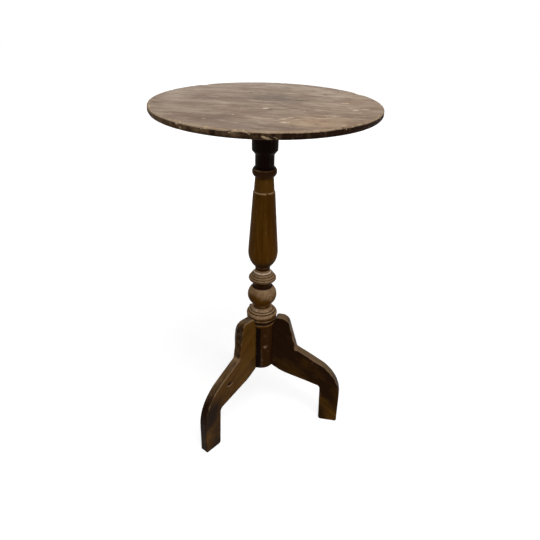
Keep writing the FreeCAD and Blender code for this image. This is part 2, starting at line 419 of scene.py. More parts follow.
@dataclass(frozen=True)
class WoodFinish(Finish):
    """Old wood: streaked grain, pores, worn arrises and grime in the hollows, with painted highlights
    and shade where the mesh paints them.
    """

    dark: Rgb
    middle: Rgb
    light: Rgb
    worn: Rgb
    grime_and_shade: Rgb
    dust_and_highlight: Rgb
    grain: Grain
    streaks: float
    stretch: float = 14.0
    smooth_roughness: float = 0.42
    worn_roughness: float = 0.72
    relief: float = 0.35 * MM
    figure: float = 0.3
    mottle: float = 0.3
    dust_and_highlight_share: float = 0.75
    ior: float = 1.12
    ring_lines: float = 40.0
    line_tone: Rgb = (0.6, 0.54, 0.48)
    pore_share: float = 0.45
    worn_tone: Rgb = (0.7, 0.64, 0.58)
    specular: float = 0.3
    leg_grain_turn: float = math.radians(-38)

    def along_grain(self, shader: Shader, point: Socket) -> Socket:
        """Return the place with its long side along the grain squeezed.

        Args:
            shader: The material being drawn.
            point: The place on the piece.

        Returns:
            A place in which noise comes out as streaks.
        """
        squeeze = 1 / self.stretch
        turns = {Grain.ALONG_LEG: (0, self.leg_grain_turn, 0)}
        scales = {
            Grain.ALONG_X: (squeeze, 1, 1),
            Grain.ALONG_Y: (1, squeeze, 1),
            Grain.ALONG_Z: (1, 1, squeeze),
            Grain.ALONG_LEG: (squeeze, 1, 1),
        }
        return shader.mapped(point, turns.get(self.grain, (0, 0, 0)), scales[self.grain])

    def marks(self, shader: Shader, point: Socket, colour: Socket) -> Socket:
        """Return the colour with this piece's own stains, which plain wood has none of."""
        return colour

    def draw(self, shader: Shader) -> None:
        """Draw the grain, then the marks, wear, dust and grime with their painted highlights and shade,
        and then the gloss and relief.

        Args:
            shader: The material being drawn.
        """
        lot = shader.paint("lot")
        point = shader.point()
        long = self.along_grain(shader, shader.warped(point, 9.0, 10 * MM, lot))
        streak = shader.noise(long, self.streaks, 6.0, lot)
        broad = shader.noise(long, self.streaks * 0.3, 2.0, lot)
        pores = shader.noise(long, self.streaks * 9, 2.0, lot)
        rings = shader.node("Math", {0: broad, 1: self.ring_lines}, operation="MULTIPLY").outputs[0]
        rings = shader.node("Math", {0: rings}, operation="SINE").outputs[0]
        blot = shader.noise(shader.warped(point, 26.0, 16 * MM, lot), self.streaks * 0.28, 6.0, lot)
        tone = shader.scaled(streak, 0.7 - 0.5 * self.mottle, 0.0)
        tone = shader.sum(tone, shader.scaled(broad, 0.3, 0.0))
        tone = shader.sum(tone, shader.scaled(blot, 0.5 * self.mottle, 0.0))
        colour = shader.ramp(tone, {0.34: self.dark, 0.5: self.middle, 0.66: self.light})
        lines = shader.scaled(shader.step(rings, 0.2, 1.0), self.figure, 0.0)
        colour = shader.mix(lines, colour, self.line_tone, "MULTIPLY")
        pore_mask = shader.step(pores, 0.42, 0.3)
        colour = shader.tint(colour, pore_mask, self.grime_and_shade, self.pore_share)
        colour = self.marks(shader, point, colour)

        rough = shader.noise(point, 90.0, 4.0, lot)
        patchy = shader.noise(point, 34.0, 3.0, lot)
        break_up = shader.sum(shader.scaled(rough, 1.0, -0.5), shader.scaled(patchy, 1.2, -0.6))
        # Wear, which on the column's turnings and the top's arris also carries painted highlights.
        wear_and_highlight_mask = shader.step(shader.sum(shader.paint("wear_and_highlight"), break_up), 0.25, 0.8)
        worn = shader.mix(shader.step(tone, 0.62, 0.38), self.worn, self.worn_tone, "MULTIPLY")
        colour = shader.mix(wear_and_highlight_mask, colour, worn)
        # Dust, which on the column's coves is a painted highlight.
        streaky = shader.sum(shader.scaled(streak, 1.6, -0.8), shader.scaled(rough, 0.8, -0.4))
        dust_and_highlight = shader.step(shader.sum(shader.paint("dust_and_highlight"), streaky), 0.15, 1.0)
        colour = shader.tint(colour, dust_and_highlight, self.dust_and_highlight, self.dust_and_highlight_share)
        # Grime, which on the column also carries painted shade.
        grime_and_shade = shader.sum(shader.paint("grime_and_shade"), shader.scaled(rough, 0.5, -0.25))
        colour = shader.mix(shader.step(grime_and_shade, 0.15, 0.8), colour, self.grime_and_shade)

        surface = shader.nodes["Principled BSDF"].inputs
        shader.put(surface["Base Color"], colour)
        worn_gain = shader.scaled(wear_and_highlight_mask, self.worn_roughness - self.smooth_roughness, 0.0)
        uneven = shader.scaled(rough, 0.24, self.smooth_roughness - 0.12)
        shader.put(surface["Roughness"], shader.sum(worn_gain, uneven))
        shader.put(surface["IOR"], self.ior)
        shader.put(surface["Specular IOR Level"], self.specular)
        coarse = shader.bump(rough, 0.35, self.relief * 2)
        ridges = shader.sum(streak, shader.scaled(pore_mask, -0.5, 0.0))
        shader.put(surface["Normal"], shader.bump(ridges, 0.5, self.relief, coarse))


@dataclass(frozen=True)
class Patch:
    """One stain, fleck or painted sheen on the top: where it lies and its half sizes, in mm, and how
    strong it is.
    """

    x: float
    y: float
    half_x: float
    half_y: float
    turn: float
    colour: Rgb
    strength: float
    soft: float = 0.75

    def mask(self, shader: Shader, place: Socket) -> Socket:
        """Return where the patch is.

        Args:
            shader: The material being drawn.
            place: The place on the top, at level 0.

        Returns:
            1 inside the patch and 0 outside.
        """
        radii = (self.half_x * MM, self.half_y * MM, 1)
        return shader.spot(place, (self.x * MM, self.y * MM, 0), radii, self.soft, self.turn)


PALE = srgb(206, 186, 160)
BLACK = srgb(34, 22, 15)


@dataclass(frozen=True)
class TopFinish(WoodFinish):
    """The top's dull, scratched board, with a dark edge and pale chips."""

    edge: Rgb = srgb(80, 61, 44)
    edge_dark: Rgb = srgb(38, 23, 14)
    edge_pale: Rgb = srgb(112, 90, 66)
    under: Rgb = srgb(84, 60, 40)
    under_dark: Rgb = srgb(52, 34, 21)
    under_pale: Rgb = srgb(112, 86, 60)
    chip: Rgb = srgb(194, 168, 132)
    scratch: Rgb = srgb(200, 180, 156)
    stain: Rgb = srgb(108, 83, 66)
    hole: Rgb = srgb(34, 20, 12)
    patches: tuple[Patch, ...] = (
        Patch(10, 34, 78, 66, 0.0, srgb(104, 91, 79), 0.7),
        Patch(-92, 12, 84, 22, 0.10, srgb(100, 74, 58), 0.6),
        Patch(-70, 62, 60, 14, -0.08, srgb(112, 86, 70), 0.5),
        Patch(-70, -138, 92, 36, 0.12, srgb(94, 70, 54), 0.62),
        Patch(-20, -80, 90, 40, 0.0, srgb(126, 104, 88), 0.5),
        Patch(105, -124, 86, 56, 0.25, srgb(186, 156, 124), 0.45),
        Patch(150, 34, 54, 96, -0.1, srgb(172, 148, 126), 0.4),
        # Pale band along the back: wear with painted sheen of the grazing reflection.
        Patch(-10, 164, 190, 44, 0.0, srgb(178, 162, 146), 0.5),
        Patch(-168, 30, 40, 120, 0.1, srgb(172, 154, 137), 0.4),
        Patch(-10, -176, 130, 34, 0.0, srgb(112, 94, 80), 0.6),
        # Pale patches at the back's corners: wear with painted sheen of the grazing reflection.
        Patch(112, 112, 84, 66, -0.5, srgb(186, 168, 150), 0.45),
        Patch(-112, 112, 70, 52, 0.5, srgb(178, 160, 143), 0.35),
    )
    flecks: tuple[Patch, ...] = (
        Patch(10, -50, 9.0, 5.0, 0.5, PALE, 1.0, 0.6),
        Patch(18, -60, 12.0, 2.8, 0.1, BLACK, 1.0, 0.5),
        Patch(50, -120, 10.0, 3.4, 0.5, PALE, 0.9, 0.7),
        Patch(60, -108, 9.0, 3.0, 0.7, PALE, 0.85, 0.7),
        Patch(55, -142, 11.0, 3.2, 0.3, PALE, 0.85, 0.7),
        Patch(40, -132, 11.0, 2.6, 0.1, PALE, 0.45, 0.8),
        Patch(20, -126, 14.0, 5.0, -0.1, PALE, 0.35, 0.9),
        Patch(108, -100, 22.0, 7.0, 0.4, PALE, 0.3, 0.9),
        Patch(138, 31, 11.0, 4.2, 0.4, PALE, 0.8, 0.7),
        Patch(158, -23, 8.0, 5.4, 0.9, PALE, 0.75, 0.7),
        Patch(174, -9, 10.0, 4.2, 0.6, PALE, 0.7, 0.7),
        Patch(-32, -112, 4.0, 2.5, 0.0, PALE, 0.6, 0.5),
        Patch(-194, -61, 5.0, 8.0, 0.0, PALE, 0.5, 0.6),
        Patch(-44, 80, 4.5, 4.0, 0.0, BLACK, 0.8, 0.5),
        Patch(-96, 138, 6.0, 3.6, 0.0, BLACK, 0.6, 0.5),
        Patch(-161, 86, 7.0, 3.0, 0.2, BLACK, 0.45, 0.5),
        Patch(58, 33, 20.0, 2.6, 0.25, BLACK, 0.8, 0.6),
        Patch(-99, 8, 26.0, 2.6, 0.12, BLACK, 0.5, 0.7),
        Patch(-88, -50, 12.0, 2.4, -0.1, BLACK, 0.4, 0.6),
        Patch(20, 150, 16.0, 2.0, 0.05, BLACK, 0.4, 0.6),
        Patch(96, 96, 5.0, 3.0, 0.4, BLACK, 0.5, 0.5),
        Patch(72, -116, 10.0, 2.4, 0.6, PALE, 0.55, 0.8),
        Patch(66, -130, 7.0, 2.0, 0.4, PALE, 0.6, 0.8),
        Patch(128, -78, 16.0, 3.0, 0.5, PALE, 0.4, 0.9),
        Patch(120, -92, 9.0, 2.4, 0.2, PALE, 0.45, 0.9),
        Patch(166, -40, 9.0, 2.6, 0.8, PALE, 0.5, 0.8),
        Patch(150, -6, 8.0, 2.2, 0.5, PALE, 0.5, 0.8),
        Patch(142, 8, 5.0, 2.0, 0.3, PALE, 0.5, 0.8),
        Patch(-70, -150, 5.0, 3.0, 0.3, PALE, 0.6, 0.7),
        Patch(-140, -60, 12.0, 2.0, 0.1, BLACK, 0.35, 0.7),
        Patch(70, 36, 7.0, 4.0, 1.0, BLACK, 0.5, 0.6),
    )

    def scratches(self, shader: Shader, point: Socket, turn: float, lot: float) -> Socket:
        """Return the mask of fine scratches that run one way.

        Args:
            shader: The material being drawn.
            point: The place on the top.
            turn: The way they run, about Z, in radians.
            lot: A number that gives them their own pattern.

        Returns:
            1 on a scratch and 0 beside it.
        """
        long = shader.mapped(point, (0, 0, turn), (14, 520, 0))
        lines = shader.step(shader.noise(long, 1.0, 1.0, lot), 0.72, 0.78)
        where = shader.step(shader.noise(point, 14.0, 2.0, lot + 5), 0.5, 0.62)
        return shader.product(lines, where)

    def marks(self, shader: Shader, point: Socket, colour: Socket) -> Socket:
        """Return the board's colour with its stains, painted sheen at the back, flecks, edge and
        underside.

        Args:
            shader: The material being drawn.
            point: The place on the top.
            colour: The wood's own colour.

        Returns:
            The stained colour.
        """
        wavy = shader.warped(shader.warped(point, 16.0, 44 * MM), 60.0, 16 * MM)
        flat = shader.mapped(wavy, (0, 0, 0), (1, 1, 0))
        for patch in self.patches:
            colour = shader.tint(colour, patch.mask(shader, flat), patch.colour, patch.strength)
        long = shader.mapped(shader.warped(point, 50.0, 12 * MM), (0, 0, 0.04), (0.3, 1, 1))
        fine = shader.noise(long, 80.0, 8.0, 2.0)
        colour = shader.tint(colour, shader.step(fine, 0.5, 0.36), self.stain, 0.5)
        colour = shader.tint(colour, shader.step(fine, 0.54, 0.68), self.scratch, 0.4)
        blots = shader.noise(shader.mapped(wavy, (0, 0, 0), (0.55, 1, 1)), 30.0, 6.0, 6.0)
        colour = shader.tint(colour, shader.step(blots, 0.5, 0.68), self.stain, 0.5)
        colour = self.flecked(shader, point, flat, colour)
        return self.edged(shader, point, fine, colour)

    def flecked(self, shader: Shader, point: Socket, flat: Socket, colour: Socket) -> Socket:
        """Return the colour with the upper side's flecks, scratches and worm holes.

        Args:
            shader: The material being drawn.
            point: The place on the top.
            flat: The same place, pushed about and at level 0.
            colour: The stained colour.

        Returns:
            The flecked colour.
        """
        bent = shader.warped(shader.warped(point, 110.0, 9 * MM), 340.0, 6 * MM)
        close = shader.mapped(bent, (0, 0, 0), (1, 1, 0))
        gaps = shader.step(shader.noise(bent, 420.0, 3.0, 8.0), 0.26, 0.46)
        for fleck in self.flecks:
            mask = shader.product(fleck.mask(shader, close), gaps)
            colour = shader.tint(colour, mask, fleck.colour, fleck.strength)
        for turn, lot in ((0.2, 1.0), (-0.7, 2.0), (1.25, 3.0)):
            colour = shader.tint(colour, self.scratches(shader, point, turn, lot), self.scratch, 0.5)
        crumbs = shader.step(shader.cells(shader.warped(point, 90.0, 6 * MM), 48.0), 0.16, 0.08)
        here = shader.spot(flat, (0.12, -0.06, 0), (0.13, 0.14, 1), 0.6)
        few = shader.step(shader.noise(point, 40.0, 2.0, 9.0), 0.52, 0.6)
        colour = shader.tint(colour, shader.product(crumbs, shader.product(here, few)), self.scratch)
        worm = shader.step(shader.cells(point, 17.0), 0.035, 0.02)
        return shader.tint(colour, worm, self.hole, 0.85)

    def edged(self, shader: Shader, point: Socket, fine: Socket, colour: Socket) -> Socket:
        """Return the colour with the dark rim, the underside and the pale wood of the chips.

        Args:
            shader: The material being drawn.
            point: The place on the top.
            fine: The noise that streaks the underside.
            colour: The upper side's colour.

        Returns:
            The finished colour.
        """
        zone = shader.paint("zone")
        upright = shader.mapped(shader.warped(point, 120.0, 4 * MM), (0, 0, 0), (1, 1, 0.35))
        mottle = shader.noise(upright, 78.0, 6.0, 4.0)
        across = shader.node("SeparateXYZ", {0: point}).outputs[0]
        mottle = shader.sum(mottle, shader.scaled(across, -0.95, 0.0))
        rim = shader.ramp(mottle, {0.4: self.edge_dark, 0.56: self.edge, 0.74: self.edge_pale})
        colour = shader.mix(shader.step(zone, 0.2, 0.45), colour, rim)
        below = shader.ramp(fine, {0.36: self.under_dark, 0.5: self.under, 0.66: self.under_pale})
        colour = shader.mix(shader.step(zone, 0.6, 0.8), colour, below)
        torn = shader.noise(shader.warped(upright, 200.0, 5 * MM), 190.0, 5.0)
        ragged = shader.sum(shader.paint("chip"), shader.scaled(torn, 2.2, -1.1))
        return shader.tint(colour, shader.step(ragged, 0.5, 0.95), self.chip, 0.9)


@dataclass(frozen=True)
class Scuff:
    """A rubbed place on the drum: its azimuth in degrees, its level and half sizes in mm."""

    azimuth: float
    level: float
    half_width: float
    half_height: float
    strength: float
    reach: float = 28.0 * MM

    def mask(self, shader: Shader, place: Socket) -> Socket:
        """Return where the scuff is.

        Args:
            shader: The material being drawn.
            place: The place on the column.

        Returns:
            1 inside the scuff and 0 outside.
        """
        angle = math.radians(self.azimuth)
        centre = (self.reach * math.cos(angle), self.reach * math.sin(angle), self.level * MM)
        radii = (self.half_width * MM, self.half_width * MM, self.half_height * MM)
        return shader.spot(place, centre, radii, 0.8)


@dataclass(frozen=True)
class ColumnFinish(WoodFinish):
    """The column's dark varnish, rubbed through at the turnings, with painted shade that blackens the
    head and the drum beside the legs.
    """

    painted_shade: Rgb = srgb(14, 4, 2)
    bead: Rgb = srgb(52, 30, 17)
    golden: Rgb = srgb(112, 76, 24)
    ring: Rgb = srgb(196, 160, 120)
    drum: Rgb = srgb(36, 17, 5)
    scuff: Rgb = srgb(128, 92, 70)
    scuffs: tuple[Scuff, ...] = (
        Scuff(-61.5, 199.0, 9.0, 7.0, 0.6),
        Scuff(-46.0, 186.0, 3.2, 4.0, 0.5),
        Scuff(-67.0, 229.0, 1.6, 6.0, 0.45),
        Scuff(-60.0, 228.0, 1.4, 6.5, 0.4),
    )

    def marks(self, shader: Shader, point: Socket, colour: Socket) -> Socket:
        """Return the varnish with its golden band, painted shade on the head and beside the legs, pale
        ring and dark drum.

        Args:
            shader: The material being drawn.
            point: The place on the column.
            colour: The wood's own colour.

        Returns:
            The stained colour.
        """
        cloud = shader.noise(point, 34.0, 3.0)
        # The last tone is painted shade: near black under the top, and on the drum beside the legs.
        tones = (("golden", self.golden, 0.6), ("drum", self.drum, 0.75),
                 ("bead", self.bead, 0.8), ("painted_shade", self.painted_shade, 0.95))
        for name, tone, share in tones:
            level = shader.sum(shader.paint(name), shader.scaled(cloud, 0.6, -0.3))
            colour = shader.tint(colour, shader.step(level, 0.3, 0.7), tone, share)
        bent = shader.warped(point, 150.0, 6 * MM)
        thin = shader.step(cloud, 0.3, 0.6)
        for scuff in self.scuffs:
            mask = shader.product(scuff.mask(shader, bent), thin)
            colour = shader.tint(colour, mask, self.scuff, scuff.strength)
        gap = shader.step(shader.noise(point, 46.0, 1.0, 3.0), 0.36, 0.46)
        return shader.mix(shader.product(shader.paint("ring"), gap), colour, self.ring)


@dataclass(frozen=True)
class LegFinish(WoodFinish):
    """The legs' golden-brown planks, with dark patches."""

    patch: Rgb = srgb(25, 8, 1)

    def marks(self, shader: Shader, point: Socket, colour: Socket) -> Socket:
        """Return the plank with its dark patches, which also carry the painted shade.

        Args:
            shader: The material being drawn.
            point: The place on the leg.
            colour: The wood's own colour.

        Returns:
            The stained colour.
        """
        lot = shader.paint("lot")
        long = shader.mapped(point, (0, self.leg_grain_turn, 0), (0.45, 1, 1))
        cloud = shader.noise(shader.warped(long, 30.0, 14 * MM, lot), 28.0, 5.0, lot)
        shade = shader.sum(cloud, shader.paint("shade"))
        return shader.tint(colour, shader.step(shade, 0.38, 0.8), self.patch, 0.95)


@dataclass(frozen=True)
class IronFinish(Finish):
    """Dark iron with a little rust."""

    iron: Rgb = srgb(66, 60, 55)
    rust: Rgb = srgb(96, 56, 34)

    def draw(self, shader: Shader) -> None:
        """Draw the iron and its rust.

        Args:
            shader: The material being drawn.
        """
        cloud = shader.noise(shader.point(), 700.0, 4.0)
        rust = shader.step(cloud, 0.48, 0.66)
        surface = shader.nodes["Principled BSDF"].inputs
        shader.put(surface["Base Color"], shader.mix(rust, self.iron, self.rust))
        shader.put(surface["Roughness"], shader.scaled(rust, 0.35, 0.45))
        shader.put(surface["Metallic"], shader.scaled(rust, -0.7, 0.9))
        shader.put(surface["Normal"], shader.bump(cloud, 0.4, 0.1 * MM))


@dataclass
class Shape:
    """A mesh in the making: its points, its faces and the values painted on it."""

    points: np.ndarray
    faces: list[Face]
    paint: dict[str, np.ndarray] = field(default_factory=dict)

    def piece(self, name: str, finish: Finish, *nodes: str, turn: float = 0.0,
              crease: float = CREASE) -> None:
        """Make the mesh, dress it and seat it on the frame.

        Args:
            name: The piece's name.
            finish: What it is finished with.
            nodes: The CAD nodes that it stands for.
            turn: Its turn about the column, in radians.
            crease: The angle from which an edge stays sharp.
        """
        mesh = bpy.data.meshes.new(name)
        mesh.from_pydata(self.points.tolist(), [], self.faces)
        for label, values in self.paint.items():
            layer = mesh.attributes.new(label, "FLOAT", "POINT")
            layer.data.foreach_set("value", np.asarray(values, np.float32))
        solid = bmesh.new()
        solid.from_mesh(mesh)
        bmesh.ops.remove_doubles(solid, verts=solid.verts, dist=WELD)
        solid.to_mesh(mesh)
        solid.free()
        mesh.polygons.foreach_set("use_smooth", [True] * len(mesh.polygons))
        mesh.set_sharp_from_angle(angle=crease)
        mesh.materials.append(finish.material())
        mesh.validate()
        made = bpy.data.objects.new(name, mesh)
        bpy.context.scene.collection.objects.link(made)
        made.matrix_world = Matrix.Rotation(turn, 4, "Z")
        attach(made, BODY)
        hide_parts(*nodes)
        LOG.info("%s: %d points, %d faces", name, len(mesh.vertices), len(mesh.polygons))


class Profile:
    """A turner's outline: radius against level, followed in lines and arcs."""

    def __init__(self, radius: float, level: float) -> None:
        """Start the outline at one point.

        Args:
            radius: The point's radius.
            level: The point's level.
        """
        self.points: list[tuple[float, float]] = [(radius, level)]
        self.grooves: list[tuple[float, float]] = []
        self.coves: list[tuple[float, float]] = []

    @property
    def radius(self) -> float:
        """Return the radius at the outline's end."""
        return self.points[-1][0]

    @property
    def level(self) -> float:
        """Return the level at the outline's end."""
        return self.points[-1][1]

    def line(self, radius: float, level: float) -> None:
        """Run straight to a point, with closer points near both ends.

        Args:
            radius: The radius to reach.
            level: The level to reach.
        """
        start = np.array(self.points[-1])
        step = np.array((radius, level)) - start
        length = float(np.hypot(*step))
        if length > 6 * FINE:
            inner = np.linspace(2 * FINE, length - 2 * FINE, max(2, math.ceil(length / COARSE)))
            stations = [FINE, *inner, length - FINE, length]
        else:
            stations = list(np.linspace(0, length, max(1, round(length / FINE)) + 1)[1:])
        self.points += [tuple(start + step * (station / length)) for station in stations]

    def arc(self, middle_radius: float, middle_level: float, radius: float, level: float) -> None:
        """Run round to a point through a middle point.

        Args:
            middle_radius: The middle point's radius.
            middle_level: The middle point's level.
            radius: The radius to reach.
            level: The level to reach.
        """
        first = complex(*self.points[-1])
        middle = complex(middle_radius, middle_level)
        last = complex(radius, level)
        ratio = (last - first) / (middle - first)
        centre = first + (middle - first) * (ratio - abs(ratio) ** 2) / (2j * ratio.imag)
        begin = math.atan2((first - centre).imag, (first - centre).real)
        turn_sign = 1 if ratio.imag > 0 else -1
        end = math.atan2((last - centre).imag, (last - centre).real)
        sweep = turn_sign * ((turn_sign * (end - begin)) % math.tau)
        reach = abs(first - centre)
        count = max(4, math.ceil(abs(sweep) * reach / FINE))
        for index in range(1, count + 1):
            angle = begin + sweep * index / count
            across, up = reach * math.cos(angle), reach * math.sin(angle)
            self.points.append((centre.real + across, centre.imag + up))

    def bead(self, proud: float, height: float, radius: float) -> None:
        """Run over a half-round bead, or a hollow where proud is negative.

        Args:
            proud: How far its middle stands out.
            height: Its height.
            radius: The radius at its upper end.
        """
        self.grooves.append(self.points[-1])
        middle = (self.radius + radius) / 2 + proud
        self.arc(middle, self.level + height / 2, radius, self.level + height)

    def steps(self, inner: float, height: float, count: int, round_share: float = 0.7) -> None:
        """Run up quarter-round steps, each with a short upright riser.

        Args:
            inner: The radius after the last step.
            height: The height of all the steps.
            count: How many there are.
            round_share: The share of a step's height that is round.
        """
        run = (self.radius - inner) / count
        rise = height / count
        self.grooves.append(self.points[-1])
        for _ in range(count):
            radius, level = self.points[-1]
            curve = rise * round_share
            middle = (radius - run * (1 - QUARTER), level + curve * QUARTER)
            self.arc(*middle, radius - run, level + curve)
            self.grooves.append(self.points[-1])
            self.line(radius - run, level + rise)

    def cove(self, inner: float, height: float) -> None:
        """Run up a hollow quarter round to a neck.

        Args:
            inner: The neck's radius.
            height: The hollow's height.
        """
        self.coves.append((self.level, self.level + height))
        middle = inner + (self.radius - inner) * (1 - QUARTER)
        self.arc(middle, self.level + height * (1 - QUARTER), inner, self.level + height)

    def worn(self, passes: int) -> np.ndarray:
        """Return the outline with its corners rubbed round.

        Args:
            passes: How often it is rubbed.

        Returns:
            Radius and level, one row for each ring.
        """
        rings = np.array(self.points)
        for _ in range(passes):
            rings[1:-1] = (rings[:-2] + 2 * rings[1:-1] + rings[2:]) / 4
        return rings


def relief(rings: np.ndarray, reach: float) -> np.ndarray:
    """Return how far an outline stands out from its own smoothed course.

    Args:
        rings: Radius and level, one row for each ring.
        reach: The length that it is smoothed over, in metres.

    Returns:
        Metres, above 0 on ridges and below 0 in grooves.
    """
    lengths = np.hypot(*np.diff(rings, axis=0).T)
    course = np.concatenate(([0], np.cumsum(lengths)))
    widths = np.gradient(course)
    weights = np.exp(-(((course[:, None] - course[None, :]) / reach) ** 2)) * widths[None, :]
    smooth = weights @ rings / weights.sum(1, keepdims=True)
    tangent = np.gradient(smooth, axis=0)
    outward = np.stack((tangent[:, 1], -tangent[:, 0]), 1)
    outward /= np.maximum(np.hypot(*outward.T), 1e-9)[:, None]
    return ((rings - smooth) * outward).sum(1)


def tube_faces(ring_count: int, segments: int) -> list[Face]:
    """Return the faces of stacked rings, with both ends closed.

    Args:
        ring_count: How many rings there are, from the lowest up.
        segments: How many points each ring has.

    Returns:
        Faces that look outwards.
    """
    faces: list[Face] = [tuple(range(segments - 1, -1, -1))]
    for ring in range(ring_count - 1):
        low = ring * segments
        high = low + segments
        for index in range(segments):
            after = (index + 1) % segments
            faces.append((low + index, low + after, high + after, high + index))
    last = (ring_count - 1) * segments
    faces.append(tuple(range(last, last + segments)))
    return faces


def joined(solids: list[Solid]) -> Solid:
    """Return several solids as one set of points and faces.

    Args:
        solids: Each solid's points and faces.

    Returns:
        All the points, and faces that number them.
    """
    points, faces, start = [], [], 0
    for solid, solid_faces in solids:
        points.append(solid)
        faces += [tuple(number + start for number in face) for face in solid_faces]
        start += len(solid)
    return np.concatenate(points), faces


@dataclass
class Chip:
    """A piece broken out of the top's edge: its azimuth in degrees, its width and depth in mm."""

    azimuth: float
    width: float
    depth: float
    low: bool = False
    slant: float = 0.0


@dataclass
class TableTop:
    """The round board: a thin disc with a rubbed, chipped edge."""

    finish: TopFinish
    upper_round: float = 3.0 * MM
    lower_round: float = 6.0 * MM
    segments: int = 720
    face_step: float = 9.0 * MM
    rim_band: tuple[float, float] = (9.0 * MM, 1.5 * MM)
    chip_drop: float = 0.55
    tears: float = 190.0
    sag: float = 0.3 * MM
    rub: float = 0.35 * MM
    nicks: int = 46
    chips: tuple[Chip, ...] = (
        Chip(-96, 3.6, 2.6, slant=1.9),
        Chip(-109, 3.4, 1.8, slant=2.0),
        Chip(-105, 14, 0.9),
        Chip(-116, 12, 0.8),
        Chip(-84, 3.4, 1.7, slant=-2.0),
        Chip(-80, 8, 1.6, True, -1.8),
        Chip(-76, 4, 1.2, True, -1.6),
        Chip(-118, 6, 1.2, True, 1.2),
        Chip(-122, 4, 1.0, slant=1.4),
        Chip(-66, 16, 0.6),
        Chip(-44, 7, 0.7, slant=0.9),
        Chip(-28, 9, 0.7, True),
        Chip(-12, 10, 1.1, slant=-0.8),
        Chip(38, 13, 1.8, slant=0.7),
        Chip(95, 18, 1.2, True),
        Chip(140, 11, 2.0, slant=-1.0),
        Chip(205, 15, 1.4, slant=0.6),
    )

    def __post_init__(self) -> None:
        """Take the board's size from the frame."""
        low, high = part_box("table_top")
        self.radius = (high.x - low.x) / 2
        self.under = low.z
        self.upper = high.z

    def outline(self) -> np.ndarray:
        """Return the board's outline from the underside's middle to the upper side's.

        Returns:
            Radius and level, one row for each ring.
        """
        hub = self.face_step / 2
        outline = Profile(hub, self.under)
        flat = self.radius - self.lower_round
        for radius in np.arange(hub + self.face_step, flat, self.face_step):
            outline.points.append((float(radius), self.under))
        inset = self.lower_round * (1 - QUARTER)
        outline.line(flat, self.under)
        outline.arc(self.radius - inset, self.under + inset, self.radius, self.under + self.lower_round)
        outline.line(self.radius, self.upper - self.upper_round)
        inset = self.upper_round * (1 - QUARTER)
        flat = self.radius - self.upper_round
        outline.arc(self.radius - inset, self.upper - inset, flat, self.upper)
        outline.line(flat - 2 * FINE, self.upper)
        for radius in np.arange(flat - self.face_step / 2, hub, -self.face_step):
            outline.points.append((float(radius), self.upper))
        return np.array(outline.points)

    def random_nicks(self) -> list[Chip]:
        """Return small chips at random places round the edge.

        Returns:
            The chips, the same on each run.
        """
        random = np.random.default_rng(SEED)
        return [
            Chip(random.uniform(0, 360), random.uniform(1.5, 5), random.uniform(0.3, 1.0),
                 random.random() < 0.4, random.uniform(-1.5, 1.5))
            for _ in range(self.nicks)
        ]

    def bite(self, cut: Chip, angles: np.ndarray, level: np.ndarray, height: np.ndarray) -> np.ndarray:
        """Return the share of a chip's depth that is broken out at each point.

        Args:
            cut: The chip.
            angles: The segments' angles about the axis.
            level: The points' levels, by ring and segment.
            height: Their height in the board, 0 to 1.

        Returns:
            Values from 0 to 1, by ring and segment.
        """
        offset = (angles - math.radians(cut.azimuth) + math.pi) % math.tau - math.pi
        lean = cut.slant * (level - self.under - self.lower_round)
        spread = (offset[None, :] * self.radius - lean) / (cut.width * MM)
        side = ease(0.75, 0.3, height) if cut.low else ease(0.35, 0.8, height)
        return np.clip(1 - spread**2, 0, 1) * side

    def build(self) -> None:
        """Turn the board, break its edge and dress it."""
        rings = self.outline()
        angles = np.arange(self.segments) * (math.tau / self.segments)
        radius = np.repeat(rings[:, :1], self.segments, 1)
        level = np.repeat(rings[:, 1:], self.segments, 1)
        height = (level - self.under) / (self.upper - self.under)
        rim = ease(self.radius - self.rim_band[0], self.radius - self.rim_band[1], radius)
        chip = np.zeros_like(radius)
        for cut in (*self.chips, *self.random_nicks()):
            bite = self.bite(cut, angles, level, height) * rim
            torn = 0.7 + 0.3 * np.sin(angles * self.tears + cut.azimuth)[None, :]
            depth = bite * torn * cut.depth * MM
            radius = radius - depth
            if not cut.low:
                level = level - self.chip_drop * depth
            chip = np.maximum(chip, ease(0.25, 0.8, bite) * min(1.0, cut.depth / 1.6))
        points = np.stack((radius * np.cos(angles), radius * np.sin(angles), level), 2).reshape(-1, 3)
        sag = self.sag * (0.5 + 0.5 * lumps(points, 22.0))
        points[:, 2] -= np.where(height.reshape(-1) > 0.99, sag, 0)
        rubbed = self.rub * (1 + lumps(points, 34.0, 3.0)) * rim.reshape(-1) / self.radius
        points[:, :2] *= 1 - rubbed[:, None]
        # The upper arris is painted pale: rubbed wear together with a painted highlight along the
        # rounded edge.
        arris = rim * ease(0.66, 0.86, height) * ease(1.001, 0.96, height)
        arris *= 0.82 - 0.2 * np.cos(angles)[None, :]
        zone = np.where(height > 0.97, 0.0, np.where(height < 0.12, 1.0, 0.5))
        paint = {
            "wear_and_highlight": arris.reshape(-1),
            "chip": chip.reshape(-1),
            "zone": zone.reshape(-1),
            "grime_and_shade": np.zeros(len(points)),
            "lot": np.full(len(points), 0.7),
        }
        faces = tube_faces(len(rings), self.segments)
        Shape(points, faces, paint).piece("round_top", self.finish, "table_top")


